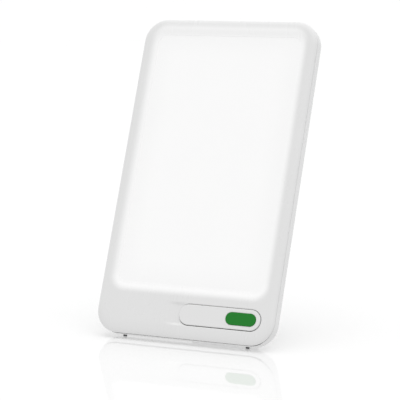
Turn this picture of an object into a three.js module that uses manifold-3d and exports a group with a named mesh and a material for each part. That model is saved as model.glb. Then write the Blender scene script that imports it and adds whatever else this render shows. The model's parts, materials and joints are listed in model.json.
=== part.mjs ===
// Light therapy lamp: a slim upright panel that leans back on a fold-out rear leg.
// Millimetres, +Z up. The panel faces -Y, and the origin lies on the floor under the middle of the lamp.
// The panel is modelled in its own face frame: x across, y up the face, z out of the front, with zero
// at the lower edge of the parting plane between the front frame and the rear cover.
import * as THREE from "three";
import { mergeVertices } from "three/addons/utils/BufferGeometryUtils.js";
import Module from "manifold-3d";

const wasm = await Module();
wasm.setup();

// Fits and fineness
const clearance = 0.3;
const overrun = 1;
const bury = 0.5;
const sameSpot = 0.0001;
const cornerSteps = 8;
const rollSteps = 5;
const bevelSteps = 7;
const edgeSteps = 3;
const slotSteps = 3;
const blockSteps = 4;
const smallSides = 12;
const screwSides = 10;
const barrelSides = 24;

// Panel as a whole
const panelWidth = 180;
const panelHeight = 312;
const panelCorner = 22;
const leanDegrees = 22.5;
const partingHeight = 5;
const partingBreak = 0.35;

// Front frame
const frameWall = 2.2;
const frameSide = 1.8;
const crestLevel = 5;
const rollRun = 5.6;
const lowerRollRun = 14;
const bevelSideInset = 6.4;
const bevelLowerInset = 38.6;
const bevelUpperInset = 8.8;
const bevelCorner = 17;
const windowSideBorder = 15;
const windowLowerBorder = 49;
const windowUpperBorder = 15.5;
const windowCorner = 10;
const bevelDepth = 2.4;
const lipThickness = 1.5;
const seatWidth = 4.4;
const seatStep = 1.6;
const ceilingShoulder = 1;

// Diffuser, light guide, reflector and tray
const diffuserFlangeWidth = 4;
const diffuserFlangeThickness = 2.2;
const diffuserDrop = 0.3;
const diffuserEdge = 0.4;
const guideSideOverlap = 1.5;
const guideEndOverlap = 3;
const guideThickness = 3;
const reflectorThickness = 0.3;
const trayThickness = 0.8;
const trayCorner = 1.2;
const sheetCorner = 1;
const trayNotchWidth = 3.6;

// LED strips
const stripBoardThickness = 0.8;
const ledWidth = 3.5;
const ledHeight = 2.2;
const ledDepth = 1;
const ledCount = 22;

// Rear cover
const coverWall = 2.2;
const coverSide = 8;
const coverRoll = 9;
const lipInset = 2.5;
const lipWidth = 1;
const lipHeight = 0.7;
const ribThickness = 1.6;
const crossRibShares = [0.62, 0.82, 0.94];
const upRibInset = 34;
const upRibStep = 0.6;
const ventCount = 11;
const ventPitch = 8;
const ventWidth = 2.6;
const ventLength = 22;
const ventTopInset = 26;
const notchHalfWidth = 12;
const notchRise = 7;
const notchDepth = 4.2;

// Screws that hold the cover
const screwInset = 6.6;
const screwLowerInset = 24;
const screwUpperInset = 30;
const screwShank = 1.2;
const screwHead = 2.4;
const screwHeadHeight = 1.5;
const screwSeatDepth = 5.9;
const bossRadius = 2.8;
const bossFootRadius = 4.2;
const bossMeet = 6;

// Power key and its green inlay
const keySideInset = 12.2;
const keyLength = 82.3;
const keyBottom = 12.4;
const keyHeight = 20.2;
const keyThickness = 2;
const keyEdge = 0.5;
const keyGapUpper = 0.45;
const keyGapLower = 0.85;
const openingFlare = 0.6;
const keyRibHeight = 1.1;
const keyRibOffset = 6;
const keyRibEndInset = 8;
const lensEndInset = 4.5;
const lensLength = 30.9;
const lensHeight = 12.6;
const lensLift = 0.3;
const lensThickness = 1.1;
const lensSink = 0.8;
const lensEdge = 0.35;
const pivotInset = 5;
const pivotLevel = -0.3;
const pivotRadius = 1;
const pivotLug = 2.3;
const lugThickness = 2.4;
const lugEndInset = 4.2;
const earThickness = 2.4;
const pinTail = 0.6;
const pusherRadius = 2.5;

// Thumb scoop beside the key
const scoopLength = 15;
const scoopDepth = 1.15;
const scoopHeight = 19.6;
const scoopSoftness = 1.5;
const scoopBody = 5;

// Push switch and its board
const boardPastKey = 1.2;
const boardBelowKey = 3.8;
const boardLength = 36;
const boardHeight = 26;
const boardThickness = 1.6;
const boardFront = -5.4;
const switchWidth = 8;
const switchHeight = 3.5;
const switchFloor = 0.4;
const plungerRadius = 1.7;
const plungerTravel = 1.6;
const plungerReveal = 0.9;
const boardScrewShank = 1;
const boardScrewHead = 1.9;
const boardScrewHeadHeight = 1.1;
const boardScrewLength = 6;
const boardScrewInset = 3.6;
const postRadius = 2.6;
const chipSize = 5;
const chipHeight = 1.2;
const coilSize = 6;
const coilHeight = 3;
const plugWidth = 5;
const plugDepth = 4;
const plugHeight = 2.6;
const capRadius = 2.4;
const capHeight = 3.6;

// Power inlet
const jackInset = 17;
const jackBody = 10;
const jackBarrel = 4;
const jackBore = 3.1;
const jackPin = 1;
const jackBoreDepth = 8;
const jackBack = 0.2;

// LED leads
const leadRadius = 0.8;
const leadSides = 8;
const leadStep = 4;
const leadBow = 4;
const leadLevel = -3.2;
const leadRow = 39.5;

// Front feet
const footInset = 27;
const footWidth = 4.6;
const footSetback = 7.3;
const footLength = 4.6;
const footHeight = 6.2;
const footCorner = 2.1;
const footPadWall = 2.2;

// Rear leg, its hinge and pads
const legOpenDegrees = 35;
const hingeUp = 158;
const hingeDepth = 3;
const legWidth = 70;
const legCorner = 8;
const legGap = 1;
const legPlate = 2;
const legOuter = 2.8;
const legRimTop = 2;
const legRim = 1.8;
const legRibHeight = 1.2;
const legRibOffset = 12;
const legCrossRibShares = [0.25, 0.5, 0.75];
const legHeel = 5.5;
const legHeelThickness = 2.5;
const barrelRadius = 2.9;
const hingePinRadius = 1.5;
const hingePinEnd = 5;
const earWall = 5.6;
const earHalfHeight = 4.5;
const recessWall = 2;
const recessTopGap = 1.3;
const washerThickness = 0.4;
const padLength = 18;
const padInset = 14;
const padThickness = 3.2;
const padShift = -0.4;
const padProud = 2;
const padSeat = 4;
const padBlock = 7;

// Angles and levels that follow
const lean = THREE.MathUtils.degToRad(leanDegrees);
const legOpen = THREE.MathUtils.degToRad(legOpenDegrees);
const faceTurn = Math.PI / 2 - lean;
const legLean = legOpen - lean;
const halfGap = clearance / 2;
const coverBack = -(coverSide + coverRoll);
const coverInside = coverBack + coverWall;
const lipLevel = crestLevel - bevelDepth;
const seatLevel = lipLevel - lipThickness;
const ceilingLevel = crestLevel - frameWall;
const flangeFront = seatLevel - clearance;
const flangeBack = flangeFront - diffuserFlangeThickness;
const guideFront = flangeBack - clearance;
const guideBack = guideFront - guideThickness;
const reflectorFront = guideBack - clearance;
const reflectorBack = reflectorFront - reflectorThickness;
const trayFront = reflectorBack - clearance;
const trayBack = trayFront - trayThickness;
const ribLevel = trayBack - clearance;
const windowHalf = panelWidth / 2 - windowSideBorder;
const windowTop = panelHeight - windowUpperBorder;
const guideHalf = windowHalf + guideSideOverlap;
const guideBottom = windowLowerBorder - guideEndOverlap;
const guideTop = windowTop + guideEndOverlap;
const ledFace = guideHalf + clearance;
const stripBack = ledFace + ledDepth + stripBoardThickness;
const trayHalf = stripBack + clearance + trayThickness;
const trayBottom = guideBottom - clearance - trayThickness;
const trayTop = guideTop + clearance + trayThickness;
const screwAcross = panelWidth / 2 - screwInset;
const screwHighest = panelHeight - screwUpperInset;
const screwHeights = [screwLowerInset, (screwLowerInset + screwHighest) / 2, screwHighest];
const hingeLevel = coverBack + hingeDepth;
const recessFloor = hingeLevel + barrelRadius + clearance;
const recessHalf = legWidth / 2 + legGap;
const recessTop = hingeUp + legHeel + recessTopGap;
const hingeFloorHeight = partingHeight + hingeUp * Math.cos(lean) + hingeLevel * Math.sin(lean);
const legReach = hingeFloorHeight / Math.cos(legLean);
const legEnd = legReach - padProud;
const keyRight = panelWidth / 2 - keySideInset;
const keyLeft = keyRight - keyLength;
const keyTop = keyBottom + keyHeight;
const keyMiddle = (keyBottom + keyTop) / 2;
const lensRight = keyRight - lensEndInset;
const lensLeft = lensRight - lensLength;
const lensBottom = keyMiddle + lensLift - lensHeight / 2;
const lensTop = lensBottom + lensHeight;
const boardRight = keyRight + boardPastKey;
const boardLeft = boardRight - boardLength;
const boardBottom = keyBottom - boardBelowKey;
const boardTop = boardBottom + boardHeight;
const jackAcross = boardRight - jackInset;
const jackUp = keyMiddle;
const footSpacing = panelWidth - 2 * footInset;
const padOffset = legWidth / 2 - padInset;
const pivotAcross = keyLeft + pivotInset;
const switchAcross = (lensLeft + lensRight) / 2;
const keyUnder = crestLevel - keyThickness;
const boardBack = boardFront - boardThickness;
const switchFoot = boardFront + clearance;
const switchTop = switchFoot + switchHeight;
const plungerFoot = switchFoot + switchFloor + clearance + plungerTravel;
const plungerTop = switchTop + plungerTravel + plungerReveal;
const pusherLevel = plungerTop + clearance;
const screwSeat = coverBack + screwSeatDepth - clearance;
const boardFootLevel = boardBack - clearance;

// Colours, roughness and metalness of the finishes
const white = { color: 0xe4e5e7, roughness: 0.3, metalness: 0 };
const opal = { color: 0xf6f7f7, roughness: 0.45, metalness: 0 };
const clearAcrylic = { color: 0xe9f0f2, roughness: 0.1, metalness: 0 };
const film = { color: 0xf4f4f4, roughness: 0.6, metalness: 0 };
const sheetMetal = { color: 0xb9bcbf, roughness: 0.35, metalness: 0.9 };
const stripBoard = { color: 0xeeeee6, roughness: 0.5, metalness: 0 };
const boardGreen = { color: 0x1f5b3a, roughness: 0.5, metalness: 0 };
const keyGreen = { color: 0x26803a, roughness: 0.35, metalness: 0 };
const blackPlastic = { color: 0x1c1c1e, roughness: 0.5, metalness: 0 };
const steel = { color: 0xa8abae, roughness: 0.3, metalness: 1 };
const rubber = { color: 0x2a2a2c, roughness: 0.85, metalness: 0 };
const leadSheath = { color: 0xd8d8d4, roughness: 0.6, metalness: 0 };

// Solids from closed geometries, and back

function solidOf(geometry) {
  const bare = geometry.index ? geometry.toNonIndexed() : geometry.clone();
  for (const name of Object.keys(bare.attributes)) {
    if (name !== "position") bare.deleteAttribute(name);
  }
  const merged = mergeVertices(bare, sameSpot);
  const mesh = new wasm.Mesh({
    numProp: 3,
    vertProperties: merged.attributes.position.array,
    triVerts: new Uint32Array(merged.index.array),
  });
  return new wasm.Manifold(mesh);
}

function geometryOf(solid) {
  const { vertProperties, triVerts, numProp } = solid.getMesh();
  const positions = new Float32Array((vertProperties.length / numProp) * 3);
  for (let index = 0; index < positions.length / 3; index++) {
    positions.set(vertProperties.subarray(index * numProp, index * numProp + 3), index * 3);
  }
  const indexed = new THREE.BufferGeometry();
  indexed.setAttribute("position", new THREE.BufferAttribute(positions, 3));
  indexed.setIndex(new THREE.BufferAttribute(triVerts, 1));
  const faceted = indexed.toNonIndexed();
  faceted.computeVertexNormals();
  return faceted;
}

function joined(first, ...others) {
  return others.reduce((whole, other) => whole.add(other), first);
}

function without(first, ...others) {
  return others.reduce((rest, other) => rest.subtract(other), first);
}

// A named mesh of a solid or a geometry, in one finish.
function piece(name, form, finish) {
  const geometry = form.isBufferGeometry ? form : geometryOf(form);
  const mesh = new THREE.Mesh(geometry, new THREE.MeshStandardMaterial(finish));
  mesh.name = name;
  return mesh;
}

// Simple solids

function slab(left, right, bottom, top, back, front) {
  const box = new THREE.BoxGeometry(Math.abs(right - left), top - bottom, front - back);
  box.translate((left + right) / 2, (bottom + top) / 2, (back + front) / 2);
  return solidOf(box);
}

// A rod along z from back to front.
function rod(x, y, radius, back, front, sides = smallSides) {
  const cylinder = new THREE.CylinderGeometry(radius, radius, front - back, sides);
  cylinder.rotateX(Math.PI / 2);
  cylinder.translate(x, y, (back + front) / 2);
  return solidOf(cylinder);
}

// A rod along x from left to right.
function rodAcross(y, z, radius, left, right, sides = smallSides) {
  const cylinder = new THREE.CylinderGeometry(radius, radius, right - left, sides);
  cylinder.rotateZ(Math.PI / 2);
  cylinder.translate((left + right) / 2, y, z);
  return solidOf(cylinder);
}

// A rod along y from bottom to top.
function rodUp(x, z, radius, bottom, top, sides = smallSides) {
  const cylinder = new THREE.CylinderGeometry(radius, radius, top - bottom, sides);
  cylinder.translate(x, (bottom + top) / 2, z);
  return solidOf(cylinder);
}

// Lofts through rounded rectangles: each ring has its four edges, its corner radius and its level.

function ringPoints({ left, right, bottom, top, radius, steps }) {
  const centres = [
    [right - radius, top - radius],
    [left + radius, top - radius],
    [left + radius, bottom + radius],
    [right - radius, bottom + radius],
  ];
  const points = [];
  centres.forEach(([x, y], quarter) => {
    for (let step = 0; step <= steps; step++) {
      const turn = (quarter + step / steps) * (Math.PI / 2);
      points.push(new THREE.Vector2(x + radius * Math.cos(turn), y + radius * Math.sin(turn)));
    }
  });
  return points.filter((point, index) => point.distanceTo(points.at(index - 1)) > sameSpot);
}

// The rings run from the front down the outside. A closed loft returns to its first ring inside itself,
// and an open one is capped at both ends.
function loft(rings, closed) {
  const loops = rings.map(ringPoints);
  const count = loops[0].length;
  const positions = [];
  loops.forEach((loop, index) => {
    for (const point of loop) positions.push(point.x, point.y, rings[index].level);
  });
  const triangles = [];
  const spans = closed ? rings.length : rings.length - 1;
  for (let span = 0; span < spans; span++) {
    const upper = span * count;
    const lower = ((span + 1) % rings.length) * count;
    for (let step = 0; step < count; step++) {
      const next = (step + 1) % count;
      triangles.push(upper + step, lower + step, lower + next);
      triangles.push(upper + step, lower + next, upper + next);
    }
  }
  if (!closed) {
    const ends = [rings[0], rings.at(-1)];
    ends.forEach(({ left, right, bottom, top, level }, end) => {
      const centre = positions.length / 3;
      const start = end * (rings.length - 1) * count;
      positions.push((left + right) / 2, (bottom + top) / 2, level);
      for (let step = 0; step < count; step++) {
        const next = (step + 1) % count;
        if (end) triangles.push(centre, start + next, start + step);
        else triangles.push(centre, start + step, start + next);
      }
    });
  }
  const geometry = new THREE.BufferGeometry();
  geometry.setAttribute("position", new THREE.BufferAttribute(new Float32Array(positions), 3));
  geometry.setIndex(triangles);
  return solidOf(geometry);
}

// A ring set in from the panel's outline by its own amount at the sides, below and above.
function panelRing(side, lower, upper, radius, level) {
  return {
    left: side - panelWidth / 2,
    right: panelWidth / 2 - side,
    bottom: lower,
    top: panelHeight - upper,
    radius,
    level,
    steps: cornerSteps,
  };
}

function evenRing(inset, level) {
  return panelRing(inset, inset, inset, panelCorner - inset, level);
}

function boxRing(left, right, bottom, top, radius, level, steps = cornerSteps) {
  return { left, right, bottom, top, radius, level, steps };
}

// A ring grown outwards by the same amount all round.
function grown(ring, by, level) {
  return boxRing(
    ring.left - by,
    ring.right + by,
    ring.bottom - by,
    ring.top + by,
    ring.radius + by,
    level,
    ring.steps,
  );
}

// A straight prism of one ring.
function prism(ring, back, front) {
  return loft([grown(ring, 0, front), grown(ring, 0, back)], false);
}

// A block of one ring whose front edge is rounded.
function roundedBlock(ring, back, front, edge) {
  const rings = [];
  for (let step = 0; step <= edgeSteps; step++) {
    const turn = (step / edgeSteps) * (Math.PI / 2);
    rings.push(grown(ring, -edge * (1 - Math.sin(turn)), front - edge * (1 - Math.cos(turn))));
  }
  rings.push(grown(ring, 0, back));
  return loft(rings, false);
}

// The thin wall that runs between two rings' outlines.
function hoop(outer, inner, back, front) {
  const rings = [
    grown(inner, 0, front),
    grown(outer, 0, front),
    grown(outer, 0, back),
    grown(inner, 0, back),
  ];
  return loft(rings, true);
}

// Rounded outlines shared by the key, its opening and its inlay

const keyRing = boxRing(keyLeft, keyRight, keyBottom, keyTop, (keyTop - keyBottom) / 2, crestLevel);
const openingRing = boxRing(
  keyLeft - keyGapUpper,
  keyRight + keyGapLower,
  keyBottom - keyGapLower,
  keyTop + keyGapUpper,
  (keyTop - keyBottom + keyGapLower + keyGapUpper) / 2,
  crestLevel,
);
const lensRing = boxRing(lensLeft, lensRight, lensBottom, lensTop, (lensTop - lensBottom) / 2, crestLevel);
const windowRing = panelRing(
  windowSideBorder,
  windowLowerBorder,
  windowUpperBorder,
  windowCorner,
  lipLevel,
);

// Places of the screws: both sides at each height.
const screwPlaces = screwHeights.flatMap((height) => [-1, 1].map((side) => [side * screwAcross, height]));

// Front frame: roll, crest and soft bevel outside, shell and diffuser seat inside.
function frameShell() {
  const rings = [];
  for (let step = 0; step <= rollSteps; step++) {
    const turn = (step / rollSteps) * (Math.PI / 2);
    const side = rollRun * (1 - Math.sin(turn));
    const lower = lowerRollRun * (1 - Math.sin(turn));
    const level = frameSide + (crestLevel - frameSide) * Math.cos(turn);
    rings.push(panelRing(side, lower, side, panelCorner - side, level));
  }
  rings.push(evenRing(0, halfGap + partingBreak));
  rings.push(evenRing(partingBreak, halfGap));
  rings.push(evenRing(frameWall, halfGap));
  rings.push(evenRing(frameWall, ceilingLevel - frameSide));
  const shoulder = frameWall + ceilingShoulder;
  rings.push(panelRing(shoulder, lowerRollRun / 2, shoulder, panelCorner - shoulder, ceilingLevel));
  rings.push(grown(windowRing, seatWidth + seatStep, ceilingLevel));
  rings.push(grown(windowRing, seatWidth, seatLevel));
  rings.push(grown(windowRing, 0, seatLevel));
  for (let step = bevelSteps; step >= 0; step--) {
    const share = step / bevelSteps;
    const fall = share * share * (3 - 2 * share);
    const ring = panelRing(
      THREE.MathUtils.lerp(bevelSideInset, windowSideBorder, share),
      THREE.MathUtils.lerp(bevelLowerInset, windowLowerBorder, share),
      THREE.MathUtils.lerp(bevelUpperInset, windowUpperBorder, share),
      THREE.MathUtils.lerp(bevelCorner, windowCorner, share),
      crestLevel - bevelDepth * fall,
    );
    rings.push(ring);
  }
  return loft(rings, true);
}

// The key's opening, with an edge that rolls over into the face.
function keyOpening() {
  const rings = [grown(openingRing, openingFlare, crestLevel + overrun)];
  for (let step = 0; step <= edgeSteps; step++) {
    const turn = (step / edgeSteps) * (Math.PI / 2);
    const out = openingFlare * (1 - Math.sin(turn));
    const down = openingFlare * (1 - Math.cos(turn));
    rings.push(grown(openingRing, out, crestLevel - down));
  }
  rings.push(grown(openingRing, 0, seatLevel - overrun));
  return loft(rings, false);
}

// The trough that leads a thumb onto the key: a soft-edged bar sunk at a slant, deepest at the key.
function thumbScoop() {
  const half = scoopHeight / 2;
  const bar = boxRing(-half, half, 0, scoopBody, scoopSoftness, 0);
  const slant = Math.atan2(scoopDepth, scoopLength);
  const cutter = geometryOf(prism(bar, -scoopLength, scoopLength));
  cutter.rotateX(Math.PI / 2);
  cutter.rotateZ(Math.PI / 2);
  cutter.rotateY(slant);
  cutter.translate(openingRing.left, keyMiddle, crestLevel - scoopDepth);
  const reach = prism(
    boxRing(
      openingRing.left - 2 * scoopLength,
      keyMiddle,
      keyMiddle - scoopHeight,
      keyMiddle + scoopHeight,
      scoopSoftness,
      0,
    ),
    seatLevel,
    crestLevel + scoopBody,
  );
  return solidOf(cutter).intersect(reach);
}

// Ears under the frame that carry the key's pivot pin, just outside the opening.
function pivotEars() {
  const spans = [
    [openingRing.bottom - clearance - earThickness, openingRing.bottom - clearance],
    [openingRing.top + clearance, openingRing.top + clearance + earThickness],
  ];
  return spans.map(([bottom, top]) =>
    slab(
      pivotAcross - pivotLug,
      pivotAcross + pivotLug,
      bottom,
      top,
      pivotLevel - pivotLug,
      ceilingLevel + bury,
    ),
  );
}

const pinBottom = openingRing.bottom - clearance - earThickness - pinTail;
const pinTop = openingRing.top + clearance + earThickness + pinTail;

function frontFrame() {
  const bosses = screwPlaces.map(([x, y]) => rod(x, y, bossRadius, -bossMeet, ceilingLevel + bury));
  const pilots = screwPlaces.map(([x, y]) =>
    rod(x, y, screwShank + clearance, -bossMeet - overrun, clearance),
  );
  const bore = rodUp(pivotAcross, pivotLevel, pivotRadius + clearance, pinBottom, pinTop);
  const whole = joined(frameShell(), ...bosses, ...pivotEars());
  return without(whole, keyOpening(), thumbScoop(), ...pilots, bore);
}

// Diffuser: a flange behind the frame's lip and a raised face in the window.
function diffuserPanel() {
  const face = grown(windowRing, -clearance, 0);
  const flange = grown(windowRing, diffuserFlangeWidth, 0);
  const front = lipLevel - diffuserDrop;
  return joined(
    prism(flange, flangeBack, flangeFront),
    roundedBlock(face, flangeFront - bury, front, diffuserEdge),
  );
}

function sheetRing(half) {
  return boxRing(-half, half, guideBottom, guideTop, sheetCorner, 0, slotSteps);
}

const trayRing = boxRing(-trayHalf, trayHalf, trayBottom, trayTop, trayCorner, 0, slotSteps);

// Tray: a pan of sheet metal, notched at its lower corners for the leads.
function lightTray() {
  const pan = without(
    prism(trayRing, trayBack, guideFront),
    prism(grown(trayRing, -trayThickness, 0), trayFront, guideFront + overrun),
  );
  const notches = [-1, 1].map((side) => {
    const middle = side * (stripBack - ledDepth);
    return slab(
      middle - trayNotchWidth / 2,
      middle + trayNotchWidth / 2,
      trayBottom - overrun,
      guideBottom + clearance,
      guideBack - bury,
      guideFront + overrun,
    );
  });
  return without(pan, ...notches);
}

// LED strip of one side, with its LEDs facing the edge of the light guide.
function ledStrip(side) {
  const bottom = guideBottom + clearance;
  const top = guideTop - clearance;
  const boardFace = stripBack - stripBoardThickness;
  const board = slab(side * boardFace, side * stripBack, bottom, top, guideBack, guideFront);
  const pitch = (top - bottom) / ledCount;
  const middle = (guideBack + guideFront) / 2;
  const leds = [];
  for (let index = 0; index < ledCount; index++) {
    const y = bottom + (index + 0.5) * pitch;
    const led = slab(
      side * ledFace,
      side * (boardFace + stripBoardThickness / 2),
      y - ledWidth / 2,
      y + ledWidth / 2,
      middle - ledHeight / 2,
      middle + ledHeight / 2,
    );
    leds.push(led);
  }
  return joined(board, ...leds);
}

// Rear cover

function coverRings(wall, start) {
  const roll = coverRoll - wall;
  const rings = [...start, evenRing(wall, -coverSide)];
  for (let step = 1; step <= rollSteps; step++) {
    const turn = (step / rollSteps) * (Math.PI / 2);
    rings.push(evenRing(wall + roll * (1 - Math.cos(turn)), -coverSide - roll * Math.sin(turn)));
  }
  return rings;
}

function coverOutside() {
  const rim = [evenRing(partingBreak, -halfGap), evenRing(0, -halfGap - partingBreak)];
  return loft(coverRings(0, rim), false);
}

function coverHollow() {
  return loft(coverRings(coverWall, [evenRing(coverWall, overrun)]), false);
}

// The low lip inside the joint that keeps light from showing through it.
function coverLip() {
  const inner = lipInset + lipWidth;
  const root = coverWall - bury;
  const rings = [
    evenRing(inner, lipHeight),
    evenRing(lipInset, lipHeight),
    evenRing(lipInset, -lipHeight),
    evenRing(root, -lipHeight),
    evenRing(root, -coverSide / 2),
    evenRing(inner, -coverSide / 2),
  ];
  return loft(rings, true);
}

// The cover's outer form, a little smaller: what is added inside is trimmed to it.
function coverCore() {
  return loft(coverRings(bury, [evenRing(bury, 0)]), false);
}

const padBack = padShift - padThickness / 2;
const padFront = padShift + padThickness / 2;

// Where the floor cuts the leg's side view at a given depth in the leg, once the leg is open.
function floorAt(z) {
  return (z * Math.sin(legLean) - hingeFloorHeight) / Math.cos(legLean);
}

const recessBottom = hingeUp + floorAt(padBack) - legGap;
const recessRing = boxRing(
  -recessHalf,
  recessHalf,
  recessBottom,
  recessTop,
  legCorner,
  0,
  blockSteps,
);

// The recess's form: round lower corners like the leg's, and square ones at the hinge.
function recessForm(growth, back, front) {
  const half = recessHalf + growth;
  return joined(
    prism(grown(recessRing, growth, 0), back, front),
    slab(-half, half, hingeUp / 2, recessTop + growth, back, front),
  );
}

// Walls and floor of the recess that the leg folds into, with the thicker ears of its hinge.
function recessBlock() {
  const ears = slab(
    -recessHalf - earWall,
    recessHalf + earWall,
    hingeUp - earHalfHeight,
    hingeUp + earHalfHeight,
    coverBack + bury,
    recessFloor,
  );
  const backing = slab(
    -notchHalfWidth - coverWall,
    notchHalfWidth + coverWall,
    coverWall / 2,
    recessBottom + coverWall,
    coverInside - bury,
    recessFloor + recessWall,
  );
  const walls = recessForm(recessWall, coverInside - bury, recessFloor + recessWall);
  return joined(walls, ears, backing).intersect(coverCore());
}

// The finger notch at the lower end of the recess.
function fingerNotch() {
  const ball = new THREE.SphereGeometry(1, barrelSides, smallSides);
  ball.scale(notchHalfWidth, notchRise, notchDepth);
  ball.translate(0, recessBottom, coverBack);
  return solidOf(ball);
}

function ventSlots() {
  const slots = [];
  const top = panelHeight - ventTopInset;
  for (let index = 0; index < ventCount; index++) {
    const x = (index - (ventCount - 1) / 2) * ventPitch;
    const half = ventWidth / 2;
    const ring = boxRing(x - half, x + half, top - ventLength, top, half, 0, slotSteps);
    slots.push(prism(ring, coverBack - overrun, coverInside + overrun));
  }
  return slots;
}

// Ribs inside the cover that press the light tray forward.
function coverRibs() {
  const half = ribThickness / 2;
  const across = crossRibShares.map((share) => {
    const y = share * panelHeight;
    return slab(-guideHalf, guideHalf, y - half, y + half, coverInside - bury, ribLevel);
  });
  const up = [-1, 1].map((side) => {
    const x = side * (panelWidth / 2 - upRibInset);
    return slab(x - half, x + half, trayBottom, guideTop, coverInside - bury, ribLevel - upRibStep);
  });
  return [...across, ...up];
}

const boardPosts = [
  [boardLeft + boardScrewInset, boardBottom + boardScrewInset],
  [boardLeft + boardScrewInset, boardTop - boardScrewInset],
  [boardRight - boardScrewInset, boardTop - boardScrewInset],
];

// Front foot of one side, standing on the floor in the lamp's own upright frame.
function footSolid(side, growth, bottom, top) {
  const half = footWidth / 2;
  const front = footSetback * Math.cos(lean);
  const back = front + footLength;
  const middle = (side * footSpacing) / 2;
  const ring = boxRing(middle - half, middle + half, front, back, footCorner, 0, slotSteps);
  return prism(grown(ring, growth, 0), bottom, top);
}

// A solid of the upright frame, as the tilted face frame sees it.
function seenFromFace(solid) {
  const geometry = geometryOf(solid);
  geometry.translate(0, 0, -partingHeight);
  geometry.rotateX(-faceTurn);
  return solidOf(geometry);
}

function rearCover() {
  const core = coverCore();
  const footPads = [-1, 1].map((side) =>
    seenFromFace(footSolid(side, footPadWall, 0, footHeight + footPadWall)).intersect(core),
  );
  const footSockets = [-1, 1].map((side) =>
    seenFromFace(footSolid(side, clearance, -overrun, footHeight + clearance)),
  );
  const bossFeet = screwPlaces.map(([x, y]) =>
    rod(x, y, bossFootRadius, coverInside - bury, coverBack + screwSeatDepth + coverWall).intersect(
      core,
    ),
  );
  const bosses = screwPlaces.map(([x, y]) =>
    rod(x, y, bossRadius, coverInside - bury, -bossMeet - clearance),
  );
  const heads = screwPlaces.map(([x, y]) =>
    rod(x, y, screwHead + clearance, coverBack - overrun, coverBack + screwSeatDepth),
  );
  const shanks = screwPlaces.map(([x, y]) => rod(x, y, screwShank + clearance, coverBack, 0));
  const posts = boardPosts.map(([x, y]) => rod(x, y, postRadius, coverInside - bury, boardFootLevel));
  const pilots = boardPosts.map(([x, y]) =>
    rod(x, y, boardScrewShank + clearance, coverInside, boardFront),
  );
  const recess = recessForm(0, coverBack - overrun, recessFloor);
  const jackHole = rod(
    jackAcross,
    jackUp,
    jackBarrel + clearance,
    coverBack - overrun,
    coverInside + overrun,
    barrelSides,
  );
  const pinBore = rodAcross(
    hingeUp,
    hingeLevel,
    hingePinRadius + clearance,
    -recessHalf - earWall - overrun,
    recessHalf + earWall + overrun,
  );
  const shell = without(coverOutside(), coverHollow());
  const whole = joined(
    shell,
    coverLip(),
    recessBlock(),
    ...footPads,
    ...coverRibs(),
    ...bossFeet,
    ...bosses,
    ...posts,
  );
  return without(
    whole,
    recess,
    fingerNotch(),
    ...ventSlots(),
    ...heads,
    ...shanks,
    ...pilots,
    jackHole,
    pinBore,
    ...footSockets,
  );
}

// A pan-head screw along z. Its shank runs from the seat towards the front (1) or the back (-1).
function screw([x, y], seat, facing, { shank, head, headHeight, length }) {
  const profile = [
    new THREE.Vector2(0, -headHeight),
    new THREE.Vector2(head - headHeight / 2, -headHeight),
    new THREE.Vector2(head, -headHeight / 2),
    new THREE.Vector2(head, 0),
    new THREE.Vector2(shank, 0),
    new THREE.Vector2(shank, length - shank),
    new THREE.Vector2(0, length),
  ];
  const turned = new THREE.LatheGeometry(profile, screwSides);
  turned.rotateX((facing * Math.PI) / 2);
  turned.translate(x, y, seat);
  return turned;
}

// Power key: a flat stadium plate with ribs, hinge lugs at its left end and a pusher over the switch.
function powerKey() {
  const plate = roundedBlock(keyRing, keyUnder, crestLevel, keyEdge);
  const ribs = [-1, 1].map((side) => {
    const y = keyMiddle + side * keyRibOffset;
    const half = ribThickness / 2;
    return slab(
      pivotAcross,
      keyRight - keyRibEndInset,
      y - half,
      y + half,
      keyUnder - keyRibHeight,
      keyUnder + bury,
    );
  });
  const lugStarts = [keyBottom + lugEndInset, keyTop - lugEndInset - lugThickness];
  const lugs = lugStarts.map((bottom) =>
    joined(
      slab(
        pivotAcross - pivotLug,
        pivotAcross + pivotLug,
        bottom,
        bottom + lugThickness,
        pivotLevel,
        keyUnder + bury,
      ),
      rodUp(pivotAcross, pivotLevel, pivotLug, bottom, bottom + lugThickness),
    ),
  );
  const pusher = rod(switchAcross, keyMiddle, pusherRadius, pusherLevel, keyUnder + bury);
  const inlay = prism(grown(lensRing, clearance, 0), crestLevel - lensSink, crestLevel + overrun);
  const bore = rodUp(pivotAcross, pivotLevel, pivotRadius + clearance, pinBottom, pinTop);
  return without(joined(plate, ...ribs, ...lugs, pusher), inlay, bore);
}

function keyLens() {
  const back = crestLevel - lensSink + clearance;
  return roundedBlock(lensRing, back, back + lensThickness, lensEdge);
}

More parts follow.
